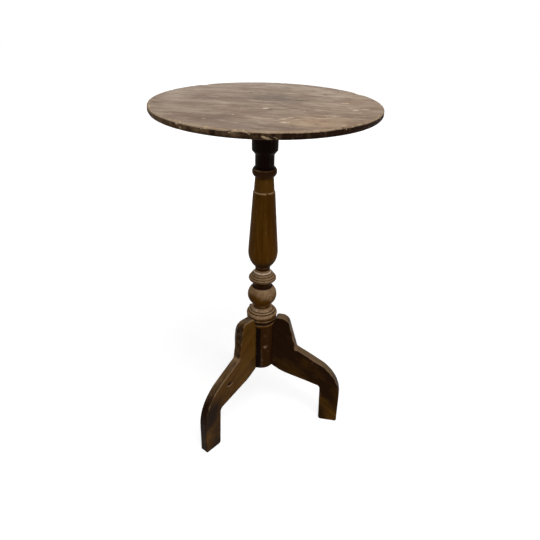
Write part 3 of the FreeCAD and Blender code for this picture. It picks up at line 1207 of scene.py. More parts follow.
@dataclass
class Column:
    """The turned column: cap, neck, vase, collar, ball, base moulding and drum."""

    finish: ColumnFinish
    segments: int = 192
    flat_share: int = 10
    leg_count: int = 3
    leg_half: float = 9.0 * MM
    drum_radius: float = 28.0 * MM
    drum_height: float = 110.2 * MM
    drum_arris: float = 1.0 * MM
    drum_bead: tuple[float, float] = (1.3 * MM, 5.0 * MM)
    hollow: tuple[float, float] = (1.5 * MM, 6.0 * MM)
    under_bead: tuple[float, float] = (3.7 * MM, 6.0 * MM)
    torus_radius: float = 32.5 * MM
    torus_height: float = 12.6 * MM
    torus_groove: float = 2.0 * MM
    base_step_radius: float = 28.6 * MM
    base_cove_radius: float = 23.6 * MM
    base_steps: tuple[float, int] = (4.5 * MM, 1)
    base_cove_height: float = 9.2 * MM
    ball_radius: float = 30.4 * MM
    ball_half: float = 21.6 * MM
    ball_neck: float = 18.3 * MM
    ball_necks: tuple[float, float] = (3.7 * MM, 11.13 * MM)
    collar_radius: float = 28.6 * MM
    collar_lip: tuple[float, float] = (3.0 * MM, 5.0 * MM)
    collar_undercut: float = 2.5 * MM
    collar_steps: tuple[float, int] = (13.5 * MM, 3)
    collar_slope: tuple[float, float] = (18.8 * MM, 8.0 * MM)
    waist: tuple[float, float] = (15.3 * MM, 5.0 * MM)
    belly_radius: float = 28.7 * MM
    belly_curve: float = 50.0 * MM
    shaft_radius: float = 18.0 * MM
    fullness: tuple[float, float] = (1.4 * MM, 16.0 * MM)
    ring_drop: float = 28.5 * MM
    ring_size: tuple[float, float] = (2.2 * MM, 0.7 * MM)
    bead_line: float = 5.5 * MM
    cove_highlight: tuple[float, float] = (0.35, 1.15)
    neck_bead: tuple[float, float] = (5.6 * MM, 20.0 * MM)
    neck: tuple[float, float] = (18.2 * MM, 23.0 * MM)
    cap_radius: float = 24.7 * MM
    cap_chamfer: float = 8.0 * MM
    cap_height: float = 53.0 * MM
    tenon_radius: float = 13.0 * MM
    socket_length: float = 92.2 * MM
    socket_depth: float = 11.2 * MM
    socket_root_half: float = 4.72 * MM
    socket_end_half: float = 6.5 * MM
    flat_drop: float = 5.3 * MM
    rub: float = 0.16 * MM
    corner_reach: tuple[float, float] = (28.0, 12.0)
    corner_fade: float = 14.0
    corner_share: float = 0.8

    def __post_init__(self) -> None:
        """Take the column's ends from the frame."""
        self.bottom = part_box("column")[0].z
        self.tenon_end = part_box("column")[1].z
        self.cap_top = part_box("top_bearer")[0].z
        self.drum_top = self.bottom + self.drum_height
        self.shoulder = math.sqrt(self.drum_radius**2 - self.leg_half**2)
        below_neck = self.cap_height + self.cap_chamfer + self.neck[1] + self.neck_bead[1]
        self.vase_top = self.cap_top - below_neck
        self.ring_level = self.vase_top - self.ring_drop
        self.ball_low = self.bottom
        self.waist_level = self.bottom

    def draw_base(self, outline: Profile) -> None:
        """Run up the drum and the base moulding to the ball's lower neck.

        Args:
            outline: The outline so far, which is carried on.
        """
        outline.line(self.drum_radius, self.bottom + self.drum_arris)
        outline.line(self.drum_radius, self.drum_top)
        outline.bead(*self.drum_bead, self.drum_radius)
        foot = self.torus_radius - self.torus_groove
        outline.bead(-self.hollow[0] - (foot - self.drum_radius) / 2, self.hollow[1], foot)
        outline.bead(self.drum_radius + self.under_bead[0] - foot, self.under_bead[1], foot)
        outline.grooves.append(outline.points[-1])
        widest = outline.level + self.torus_height * 0.45
        torus_top = outline.level + self.torus_height
        outline.arc(self.torus_radius, widest, self.base_step_radius, torus_top)
        outline.steps(self.base_cove_radius, *self.base_steps)
        outline.cove(self.ball_neck, self.base_cove_height)
        outline.line(self.ball_neck, outline.level + self.ball_necks[0])
        self.ball_low = outline.level

    def draw_ball_and_collar(self, outline: Profile) -> None:
        """Run up the ball, the stepped collar and the waist.

        Args:
            outline: The outline so far, which is carried on.
        """
        middle = outline.level + self.ball_half
        widest = math.acos(self.ball_neck / self.ball_radius)
        stretch = self.ball_half / math.sin(widest)
        count = math.ceil(2 * self.ball_radius * widest / FINE)
        for angle in np.linspace(-widest, widest, count)[1:]:
            radius = self.ball_radius * math.cos(angle)
            outline.points.append((radius, middle + stretch * math.sin(angle)))
        outline.line(self.ball_neck, outline.level + self.ball_necks[1])
        inset, rise = self.collar_lip
        inner = self.collar_radius - inset
        low = outline.level + self.collar_undercut
        outline.line(inner, low)
        bulge = (inner + inset * QUARTER, low + rise * (1 - QUARTER))
        outline.arc(*bulge, self.collar_radius, low + rise)
        outline.steps(self.collar_slope[0], *self.collar_steps)
        outline.cove(self.waist[0], self.collar_slope[1])
        self.waist_level = outline.level
        outline.line(self.waist[0], outline.level + self.waist[1])

    def draw_vase(self, outline: Profile) -> None:
        """Run up the belly and the straight taper, over its scribed ring.

        Args:
            outline: The outline so far, which is carried on.
        """
        start, foot = len(outline.points), outline.level
        centre = self.belly_radius - self.belly_curve
        inset = self.waist[0] - centre
        middle = foot + math.sqrt(self.belly_curve**2 - inset**2)
        across = self.shaft_radius - centre
        up = self.vase_top - middle
        angle = math.atan2(up, across) - math.acos(self.belly_curve / math.hypot(across, up))
        end = centre + self.belly_curve * math.cos(angle)
        end_level = middle + self.belly_curve * math.sin(angle)
        outline.arc(self.belly_radius, middle, end, end_level)
        lean = (self.shaft_radius - end) / (self.vase_top - end_level)
        half, depth = self.ring_size[0] / 2, self.ring_size[1]
        below, above = self.ring_level - half, self.ring_level + half
        outline.line(self.shaft_radius + lean * (below - self.vase_top), below)
        drawn = np.array(outline.points[start:])
        drawn[:, 0] += self.fullness[0] * ease(0, self.fullness[1], drawn[:, 1] - foot)
        outline.points[start:] = [tuple(point) for point in drawn]
        groove = self.shaft_radius + lean * (self.ring_level - self.vase_top) - depth
        outline.line(groove, self.ring_level)
        outline.line(self.shaft_radius + lean * (above - self.vase_top), above)
        outline.line(self.shaft_radius, self.vase_top)

    def draw_head(self, outline: Profile) -> None:
        """Run up the bead, the neck and the cap.

        Args:
            outline: The outline so far, which is carried on.
        """
        outline.bead(*self.neck_bead, self.neck[0])
        outline.line(self.neck[0], outline.level + self.neck[1])
        outline.line(self.cap_radius, outline.level + self.cap_chamfer)
        outline.line(self.cap_radius, self.cap_top)

    def sections(self, rings: np.ndarray) -> tuple[np.ndarray, list[Section]]:
        """Return the rings with the levels added where flats and sockets end.

        Args:
            rings: Radius and level, one row for each ring.

        Returns:
            The rings, and how the column is cut at each of them.
        """
        socket_top = self.bottom + self.socket_length
        flat_top = self.drum_top - self.flat_drop
        breaks = [
            (socket_top, Section.SOCKET, Section.FLAT),
            (flat_top, Section.FLAT, Section.ROUND),
        ]
        made, cuts, cut = [], [], Section.SOCKET
        for ring in rings:
            while breaks and ring[1] > breaks[0][0]:
                level, before, cut = breaks.pop(0)
                made += [(self.drum_radius, level), (self.drum_radius, level)]
                cuts += [before, cut]
            made.append(tuple(ring))
            cuts.append(cut)
        return np.array(made), cuts

    def cut_for_legs(self, points: np.ndarray, cuts: list[Section]) -> None:
        """Move the points of flats and sockets to where the legs are let in.

        Args:
            points: The column's points by ring and segment, which are changed.
            cuts: How the column is cut at each ring.
        """
        share = self.flat_share
        offsets = np.arange(-share, share + 1)
        knots = np.array((-1, -0.7, -0.3, 0.3, 0.7, 1)) * share
        end = self.shoulder - self.socket_depth
        depths = (self.shoulder, self.shoulder, end, end, self.shoulder, self.shoulder)
        root, tip, edge = self.socket_root_half, self.socket_end_half, self.leg_half
        across = np.interp(offsets, knots, (-edge, -root, -tip, tip, root, edge))
        socket = np.stack((np.interp(offsets, knots, depths), across), 1)
        across = np.interp(offsets, knots[[0, 1, 4, 5]], (-edge, -root, root, edge))
        flat = np.stack((np.full(len(offsets), self.shoulder), across), 1)
        for leg in range(self.leg_count):
            places = (offsets + leg * self.segments // self.leg_count) % self.segments
            angle = math.tau * leg / self.leg_count
            cosine, sine = math.cos(angle), math.sin(angle)
            spin = np.array(((cosine, sine), (-sine, cosine)))
            for ring, cut in enumerate(cuts):
                if cut is not Section.ROUND:
                    points[ring, places, :2] = (socket if cut is Section.SOCKET else flat) @ spin

    def paint_rings(self, rings: np.ndarray, outline: Profile) -> dict[str, np.ndarray]:
        """Return how worn, dirty and dark each ring is, and its painted highlights and painted shade.

        Args:
            rings: Radius and level, one row for each ring.
            outline: The outline that the rings follow.

        Returns:
            One value for each ring, by the name that the shader reads.
        """
        level = rings[:, 1]
        course = np.gradient(rings, axis=0)
        up = -course[:, 0] / np.maximum(np.hypot(*course.T), 1e-9)
        gaps = shortest_gap(rings, np.array(outline.grooves))
        # The coves' upward faces get a painted highlight.
        pale = np.zeros(len(rings))
        for (low, high), share in zip(outline.coves, self.cove_highlight):
            pale += share * ease(low - 0.5 * MM, low, level) * ease(high, high - 1 * MM, level)

        # Where the varnish is rubbed through, and which part of that is low down or on the ball.
        ball_low, ball_high = self.ball_low, self.ball_low + 2 * self.ball_half
        bare = ease(self.drum_top - 1 * MM, self.drum_top + 4 * MM, level)
        bare = bare * ease(self.waist_level + 6 * MM, self.waist_level + 1 * MM, level)
        low_down = ease(self.drum_top + 33 * MM, self.drum_top + 16 * MM, level)
        base = ease(self.drum_top + 46 * MM, self.drum_top + 40 * MM, level)
        ball = ease(ball_low - 1 * MM, ball_low, level) * ease(ball_high + 1 * MM, ball_high, level)

        # Hollows that do not face up get painted shade, grooves are darkened, and ridges lose their
        # varnish.
        recess = ease(0.5 * MM, 4.0 * MM, -relief(rings, 14 * MM)) * ease(0.45, 0.1, up)
        recess = recess * (1 - 0.7 * np.minimum(pale, 1))
        recess = recess * (1 - 0.7 * near(ball_low, 7 * MM, 3 * MM, level))
        groove = ease(1.6 * MM, 0.5 * MM, gaps) * (0.66 + 0.3 * base + 0.34 * low_down)
        ridge = ease(0.05 * MM, 0.6 * MM, relief(rings, 2.2 * MM))
        # The bare wood is painted paler on upward faces and on the ball's upper half: wear together with
        # painted light.
        turned = ease(-0.75, 0.55, up + 0.4 * ridge) * (1 - recess) * 1.1
        rubbed = ease(-0.8, 1.0, up) * 0.82
        worn = bare * (turned * (1 - ball) + rubbed * ball) * (1 - 0.55 * low_down)

        # Single rings: the bead's pale line, a painted highlight on its upper side, the seam under the
        # vase, and the drum's bead, with a painted highlight, and its hollow.
        bead = self.vase_top + self.neck_bead[1] / 2 + self.bead_line
        seam = self.waist_level + self.waist[1]
        seam_line = near(seam, 1.6 * MM, 0.5 * MM, level)
        line = np.maximum(near(bead, 1.6 * MM, 0.4 * MM, level), 1.3 * seam_line)
        lip = near(self.drum_top + self.drum_bead[1] / 2, 2.6 * MM, 0.8 * MM, level)
        hollow = self.drum_top + self.drum_bead[1] + self.hollow[1] / 2

        seam_dirt = 0.72 * near(seam - 0.5 * MM, 8 * MM, 3 * MM, level)
        foot_dirt = 0.6 * ease(30 * MM, 9 * MM, level - seam) * ease(-2 * MM, 0, level - seam)
        seam_dirt = np.maximum(seam_dirt, foot_dirt) * (1 - seam_line)
        # Painted shade on downward faces, under the collar and in the drum's hollow, joined to the
        # hollows' painted shade.
        moulding_shade = np.maximum(recess, ease(-0.25, -0.9, up) * (1 - 0.6 * ball))
        under_collar = ease(ball_high - 3.6 * MM, ball_high - 1.4 * MM, level)
        moulding_shade = np.maximum(moulding_shade, under_collar * ease(ball_high + 2 * MM, ball_high, level))
        moulding_shade = np.maximum(moulding_shade, near(hollow, 3.0 * MM, 1.4 * MM, level))
        # The bare wood darkens in the grooves, with the painted shade, and towards the bottom.
        bare_darkening = np.maximum(groove, 0.8 * moulding_shade + 0.25 * low_down * (1 - lip)) * bare
        golden = ease(self.ring_level - 4 * MM, self.ring_level, level)
        return {
            # Wear, with painted highlights on the bead's line and the drum's bead.
            "wear_and_highlight": worn + 0.35 * ridge * (1 - bare) + 0.42 * line + 0.2 * lip,
            "dust_and_highlight": pale * ease(0.3, 0.75, up),
            "grime_and_shade": np.maximum(bare_darkening, seam_dirt),
            "golden": golden * ease(self.vase_top, self.vase_top - 8 * MM, level),
            "drum": ease(self.drum_top, self.drum_top - 4 * MM, level),
            "bead": ease(self.vase_top - 3 * MM, self.vase_top + 2 * MM, level),
            # The head is painted near black: painted shade under the top.
            "painted_shade": ease(self.vase_top + 12 * MM, self.vase_top + 24 * MM, level),
            "ring": near(self.ring_level, 1.4 * MM, 0.7 * MM, level),
            "lot": np.full(len(level), 2.3),
        }

    def corner_shade(self, angles: np.ndarray, level: np.ndarray) -> np.ndarray:
        """Return the painted shade on the drum beside the legs.

        Args:
            angles: The segments' angles about the column.
            level: The rings' levels.

        Returns:
            One value for each ring and segment.
        """
        third = math.tau / self.leg_count
        turn = (angles + third / 2) % third - third / 2
        away = np.degrees(np.abs(turn) - math.asin(self.leg_half / self.drum_radius))
        beside = ease(0, self.corner_fade, np.where(turn > 0, *self.corner_reach) - away)
        on_drum = ease(self.drum_top, self.drum_top - 5 * MM, level)
        return self.corner_share * on_drum[:, None] * beside[None, :]

    def build(self) -> None:
        """Turn the column, let in the legs' places and dress it."""
        outline = Profile(self.drum_radius - self.drum_arris, self.bottom)
        self.draw_base(outline)
        self.draw_ball_and_collar(outline)
        self.draw_vase(outline)
        self.draw_head(outline)
        rings, cuts = self.sections(outline.worn(1))
        tenon = np.array(((self.tenon_radius, self.cap_top), (self.tenon_radius, self.tenon_end)))
        turned = np.concatenate((rings, tenon))
        angles = np.arange(self.segments) * (math.tau / self.segments)
        radius = np.repeat(turned[:, :1], self.segments, 1)
        level = np.repeat(turned[:, 1:], self.segments, 1)
        points = np.stack((radius * np.cos(angles), radius * np.sin(angles), level), 2)
        rubbed = (lumps(points.reshape(-1, 3), 55.0) * self.rub).reshape(radius.shape)
        points[:, :, :2] *= (1 + rubbed / radius)[:, :, None]
        self.cut_for_legs(points, cuts)
        paint = self.paint_rings(rings, outline)
        for name, values in paint.items():
            paint[name] = np.repeat(np.append(values, [values[-1]] * len(tenon)), self.segments)
        # The drum is painted darker beside the legs: painted shade, joined to the head's.
        corner_shade = self.corner_shade(angles, turned[:, 1]).reshape(-1)
        paint["painted_shade"] = np.maximum(paint["painted_shade"], corner_shade)
        faces = tube_faces(len(turned), self.segments)
        Shape(points.reshape(-1, 3), faces, paint).piece("turned_column", self.finish, "column")


@dataclass
class Dent:
    """A hollow in a leg's face: its reach, level, half sizes and depth, in mm."""

    reach: float
    level: float
    half_width: float
    half_height: float
    depth: float

    def gap(self, reach: np.ndarray, level: np.ndarray) -> np.ndarray:
        """Return how far points are from the middle, where 1 is the hollow's border.

        Args:
            reach: The points' reach from the column, in metres.
            level: The points' levels, in metres.

        Returns:
            One value for each point.
        """
        across = (reach - self.reach * MM) / (self.half_width * MM)
        return np.hypot(across, (level - self.level * MM) / (self.half_height * MM))


@dataclass
class Leg:
    """One plank leg: ear, notch, knee and foot, with its dovetail tongue."""

    finish: LegFinish
    node: str
    index: int
    shade: tuple[float, float]
    dustiness: float = 1.0
    edge_shade: float = 0.0
    dented: PlankFace = PlankFace.MINUS_Y
    dents: tuple[Dent, ...] = ()
    shade_levels: tuple[float, float] = (50.0 * MM, 190.0 * MM)
    knee_spot: Triple = (166.0 * MM, 104.0 * MM, 52.0 * MM)
    knee_shade: float = 0.16
    edge_wear: float = 0.22 * MM
    face_wear: float = 0.2 * MM
    count: int = 3
    half: float = 9.0 * MM
    arris: float = 1.5 * MM
    joint_arris: float = 0.35 * MM
    face_step: float = 4.0 * MM
    drum_radius: float = 28.0 * MM
    drum_bottom: float = 141.5 * MM
    drum_top: float = 251.7 * MM
    flat_drop: float = 5.3 * MM
    ear_lap: float = 29.7 * MM
    ear_inner: float = 32.4 * MM
    ear_rise: float = 18.0 * MM
    ear_width: float = 26.0 * MM
    ear_rounds: tuple[float, float] = (6.0 * MM, 19.0 * MM)
    relief_rise: float = 2.0 * MM
    scribe: tuple[float, float] = (8.0 * MM, 11.0 * MM)
    notch: Triple = (80.5 * MM, 192.0 * MM, 7.0 * MM)
    knee: Triple = (183.5 * MM, 130.5 * MM, 100.0 * MM)
    toe: Triple = (183.0 * MM, 0.0, 4.0 * MM)
    heel: Triple = (141.0 * MM, 0.0, 6.0 * MM)
    crotch: Triple = (138.0 * MM, 97.0 * MM, 11.0 * MM)
    arch: Triple = (46.0 * MM, 127.0 * MM, 90.0 * MM)
    tongue_depth: float = 11.0 * MM
    tongue_halves: tuple[float, float] = (4.5 * MM, 6.25 * MM)
    tongue_length: float = 92.0 * MM

    def __post_init__(self) -> None:
        """Work out where the leg meets the drum."""
        self.shoulder = math.sqrt(self.drum_radius**2 - self.half**2)

    def corners(self) -> tuple[Triple, ...]:
        """Return the plank's corners, going up the drum first.

        Returns:
            Each corner's reach, level and rounding radius.
        """
        shelf = self.drum_top - self.flat_drop
        ear_top = self.drum_top + self.ear_rise
        return (
            (self.shoulder, self.drum_bottom, 0),
            (self.shoulder, shelf, 0),
            (self.drum_radius, shelf, 0),
            (self.ear_lap, shelf + self.relief_rise, 0),
            (self.ear_lap, self.drum_top + self.scribe[0], 0),
            (self.ear_inner, self.drum_top + self.scribe[1], 0),
            (self.ear_inner, ear_top, self.ear_rounds[0]),
            (self.ear_inner + self.ear_width, ear_top, self.ear_rounds[1]),
            self.notch,
            self.knee,
            self.toe,
            self.heel,
            self.crotch,
            self.arch,
        )

    def outline(self) -> np.ndarray:
        """Return the plank's outline, with its corners rounded.

        Returns:
            Reach and level, one row for each point, going up the drum first.
        """
        corners = np.array(self.corners(), float)
        track = None
        for index, (reach, level, radius) in enumerate(corners):
            corner = np.array((reach, level))
            before = corners[index - 1, :2] - corner
            after = corners[(index + 1) % len(corners), :2] - corner
            before /= np.hypot(*before)
            after /= np.hypot(*after)
            half_angle = math.acos(float(np.clip(before @ after, -1, 1))) / 2
            tangent = radius / math.tan(half_angle)
            first, last = corner + before * tangent, corner + after * tangent
            if track is None:
                track = Profile(*first)
            else:
                track.line(*first)
            if radius:
                bisector = (before + after) / np.hypot(*(before + after))
                middle = corner + bisector * (radius / math.sin(half_angle) - radius)
                track.arc(*middle, *last)
        track.line(*track.points[0])
        points = np.array(track.points[:-1])
        step = np.hypot(*(points - np.roll(points, 1, 0)).T)
        return points[step > 0.05 * MM]

    def inward(self, outline: np.ndarray) -> np.ndarray:
        """Return the way into the plank at each point of the outline.

        Args:
            outline: Reach and level, one row for each point.

        Returns:
            Steps that set every edge in by 1, so they are longer at corners.
        """
        ahead = np.roll(outline, -1, 0) - outline
        behind = outline - np.roll(outline, 1, 0)
        ahead /= np.hypot(*ahead.T)[:, None]
        behind /= np.hypot(*behind.T)[:, None]
        both = np.stack((ahead[:, 1] + behind[:, 1], -ahead[:, 0] - behind[:, 0]), 1)
        return both * (2 / np.maximum((both**2).sum(1), 0.4))[:, None]

    def fill(self, border: np.ndarray) -> Solid:
        """Return the inner points and the triangles of a plank face.

        Args:
            border: The face's border, reach and level.

        Returns:
            The points inside the border, and triangles that number the border first.
        """
        random = np.random.default_rng(SEED + self.index)
        low, high = border.min(0), border.max(0)
        axes = [np.arange(low[k] + self.face_step / 2, high[k], self.face_step) for k in (0, 1)]
        grid = np.stack(np.meshgrid(*axes), -1).reshape(-1, 2)
        grid += random.uniform(-0.25, 0.25, grid.shape) * self.face_step
        for dent in self.dents:
            centre = np.array((dent.reach, dent.level)) * MM
            angles = np.arange(0, math.tau, math.pi / 8)
            ring = np.stack((np.cos(angles), np.sin(angles)), 1)
            size = np.array((dent.half_width, dent.half_height)) * MM
            extra = [centre + ring * size * share for share in (0.25, 0.5, 0.75, 1.0)]
            grid = np.concatenate((grid, *extra, centre[None]))
        start, end = border, np.roll(border, -1, 0)
        level = grid[:, None, 1]
        crosses = (start[None, :, 1] > level) != (end[None, :, 1] > level)
        run, rise = (end - start).T
        slope = run / np.where(np.abs(rise) < 1e-12, 1e-12, rise)
        at = start[None, :, 0] + (level - start[None, :, 1]) * slope[None, :]
        inside = (crosses & (grid[:, None, 0] < at)).sum(1) % 2 == 1
        inner = grid[inside & (shortest_gap(grid, border) > 1.6 * MM)]
        every = np.concatenate((border, inner))
        count = len(border)
        edges = [(i, (i + 1) % count) for i in range(count)]
        found = delaunay_2d_cdt([Vector(p) for p in every.tolist()], edges, [], 1, 1e-7)
        source = [origin[0] for origin in found[3]]
        return inner, [tuple(source[v] for v in face) for face in found[2]]

    def tongue(self) -> Solid:
        """Return the dovetail tongue.

        Returns:
            Its points and faces.
        """
        root, tip = self.tongue_halves
        end = self.shoulder - self.tongue_depth
        section = ((self.shoulder, -root), (self.shoulder, root), (end, tip), (end, -tip))
        levels = (self.drum_bottom, self.drum_bottom + self.tongue_length)
        points = np.array([(x, y, z) for z in levels for x, y in section])
        return points, tube_faces(2, len(section))

    def rows(self, outline: np.ndarray) -> tuple[np.ndarray, np.ndarray, np.ndarray]:
        """Return the plank's edge as rows of points from one face to the other.

        Args:
            outline: The plank's outline.

        Returns:
            The points by row and place, and how worn and how dusty each of them is.
        """
        inward = self.inward(outline)
        flat = np.stack((outline[:, 0], np.zeros(len(outline)), outline[:, 1]), 1)
        rough = lumps(flat, 60.0, self.index * 11.0)
        free = ease(self.drum_radius, self.drum_radius + 9 * MM, outline[:, 0])
        size = self.joint_arris + free * (self.arris - self.joint_arris) * (1 + 0.55 * rough)
        turns = np.radians((0, 22.5, 45, 67.5, 90))
        insets = [(1.9 + 0.3 * free) * size] + [size * (1 - math.sin(t)) for t in turns]
        depths = [np.zeros(len(outline))] + [size * (1 - math.cos(t)) for t in turns]
        wear_and_highlight = [0.2, 0.75, 1.0, 1.0, 0.95, 0.5]
        edge_up = np.clip(-inward[:, 1], 0, 1)
        nick = np.exp(-((np.hypot(*(outline - self.notch[:2]).T) / (6 * MM)) ** 2))
        exposed = free * (0.3 + 0.7 * edge_up)
        dip = self.edge_wear * (1 + lumps(flat, 24.0, 4.0 + self.index)) * free
        thirds = [(dip, np.full(len(outline), self.half * share), 0.0) for share in (0.66, 1.0, 1.34)]
        near_arris = list(zip(insets, depths, wear_and_highlight))
        far_arris = [(inset, 2 * self.half - depth, amount) for inset, depth, amount in near_arris[::-1]]
        across = near_arris + thirds + far_arris
        points, values = [], []
        for inset, depth, amount in across:
            place = outline + inward * inset[:, None]
            points.append(np.stack((place[:, 0], depth - self.half, place[:, 1]), 1))
            values.append(np.maximum(amount * exposed, nick * (0.75 + 0.5 * amount)))
        outward = np.clip(-inward[:, 0], 0, 1) * ease(110 * MM, 150 * MM, outline[:, 1])
        upward = 0.25 * edge_up + 0.75 * ease(0.3, 0.85, edge_up)
        dusty = np.maximum(0.7 * outward, upward) * self.dustiness
        dust_and_highlight = np.tile(dusty, (len(across), 1))
        dust_and_highlight[[0, 1, -2, -1]] = 0
        return np.array(points), np.array(values), dust_and_highlight

    def face_points(self, inner: np.ndarray, border: np.ndarray, side: int) -> np.ndarray:
        """Return the inner points of a plank face, hollowed by wear and dents.

        Args:
            inner: The points' reach and level.
            border: The reach and level of the face's border.
            side: The sign of the face's own Y.

        Returns:
            The points in the leg's own axes.
        """
        face = np.stack((inner[:, 0], np.full(len(inner), side * self.half), inner[:, 1]), 1)
        hollow = self.face_wear * (1 + lumps(face, 30.0, 8.0 + side + self.index))
        if side == self.dented.value:
            for dent in self.dents:
                dip = dent.depth * MM * ease(1.0, 0.45, dent.gap(*inner.T))
                hollow = np.maximum(hollow, dip)
        face[:, 1] -= side * hollow * ease(0, 8 * MM, shortest_gap(inner, border))
        return face

    def build(self) -> None:
        """Saw the plank, rub its arrises, fill its faces and dress it."""
        outline = self.outline()
        rows, wear_and_highlight, dust_and_highlight = self.rows(outline)
        count = len(outline)
        border = rows[0][:, (0, 2)]
        inner, triangles = self.fill(border)
        points = [rows.reshape(-1, 3)]
        faces = tube_faces(len(rows), count)[1:-1]
        total = len(points[0])
        for side, first in ((-1, 0), (1, total - count)):
            points.append(self.face_points(inner, border, side))
            numbers = [*range(first, first + count), *range(total, total + len(inner))]
            for triangle in triangles:
                corners = tuple(numbers[corner] for corner in triangle)
                faces.append(corners if side < 0 else corners[::-1])
            total += len(inner)
        every, faces = joined([(np.concatenate(points), faces), self.tongue()])
        lips = [self.knot_lip(inner) * (side == self.dented.value) for side in (-1, 1)]
        tail = np.zeros(len(every) - total)
        shade = self.darkness(every)
        # The plank's edges get painted shade; the left leg's edges turn from the light.
        shade[3 * count:(len(rows) - 3) * count] += self.edge_shade
        paint = {
            "wear_and_highlight": np.concatenate((wear_and_highlight.reshape(-1), *lips, tail)),
            "dust_and_highlight": np.append(dust_and_highlight.reshape(-1), np.zeros(len(every) - dust_and_highlight.size)),
            "grime_and_shade": self.grime_and_shade(every),
            "shade": shade,
            "lot": np.full(len(every), 1.7 + 3.1 * self.index),
        }
        turn = math.tau * self.index / self.count
        Shape(every, faces, paint).piece("plank_" + self.node, self.finish, self.node, turn=turn)

    def darkness(self, points: np.ndarray) -> np.ndarray:
        """Return how dark each point is: dark varnish, with painted shade where a leg's face turns from
        the light; it changes up the leg, and the knee is darker.

        Args:
            points: Places in the leg's own axes.

        Returns:
            One value for each point.
        """
        low, high = self.shade
        reach, level, radius = self.knee_spot
        gap = np.hypot(points[:, 0] - reach, points[:, 2] - level)
        shade = low + (high - low) * ease(*self.shade_levels, points[:, 2])
        return shade + self.knee_shade * ease(radius, 0.2 * radius, gap)

    def knot_lip(self, inner: np.ndarray) -> np.ndarray:
        """Return how worn a face is along the lower lips of its dents.

        Args:
            inner: The face's points, reach and level.

        Returns:
            One value for each point.
        """
        worn = np.zeros(len(inner))
        for dent in self.dents:
            gap = dent.gap(*inner.T)
            below = inner[:, 1] < dent.level * MM
            worn = np.maximum(worn, 0.6 * ease(0.6, 0.9, gap) * ease(1.9, 1.2, gap) * below)
        return worn

    def grime_and_shade(self, points: np.ndarray) -> np.ndarray:
        """Return how dirty the leg is, in its dents and where it meets the drum.

        Args:
            points: Places in the leg's own axes.

        Returns:
            One value for each point.
        """
        dirty = ease(self.drum_radius + 3 * MM, self.drum_radius, points[:, 0]) * 0.7
        on_face = points[:, 1] * self.dented.value > 0
        for dent in self.dents:
            inside = ease(1.0, 0.6, dent.gap(points[:, 0], points[:, 2]))
            dirty = np.maximum(dirty, inside * on_face)
        return dirty


@dataclass
class Pegs:
    """The whittled pegs that pin the legs through the drum."""

    finish: WoodFinish
    levels: tuple[float, ...] = (185.0 * MM, 199.0 * MM, 213.0 * MM)
    radius: float = 3.5 * MM
    outer: float = 28.5 * MM
    inner: float = -23.5 * MM
    segments: int = 28
    crown: float = 0.7 * MM
    crown_turns: tuple[float, ...] = (0, 30, 55, 75, 84)

    def build(self) -> None:
        """Whittle the pegs, drive them in and dress them."""
        stations = [(self.inner, 1.0)]
        for turn in np.radians(self.crown_turns):
            stations.append((self.outer - self.crown * (1 - math.sin(turn)), math.cos(turn) ** 0.4))
        angles = np.arange(self.segments) * (math.tau / self.segments)
        faces = tube_faces(len(stations), self.segments)
        solids = []
        for index, level in enumerate(self.levels):
            facets = 1 + 0.035 * np.cos(7 * angles + index) + 0.03 * np.cos(3 * angles + 2 * index)
            across = self.radius * facets * np.cos(angles)
            up = self.radius * facets * np.sin(angles)
            rings = [np.stack((np.full(self.segments, reach), share * across, level + share * up), 1)
                     for reach, share in stations]
            spin = np.array(Matrix.Rotation(math.pi + math.tau * index / len(self.levels), 3, "Z"))
            solids.append((np.concatenate(rings) @ spin.T, faces))
        points, faces = joined(solids)
        zero = np.zeros(len(points))
        paint = {"wear_and_highlight": zero, "grime_and_shade": zero, "lot": zero + 4.4}
        Shape(points, faces, paint).piece("whittled_pegs", self.finish, "leg_pegs")


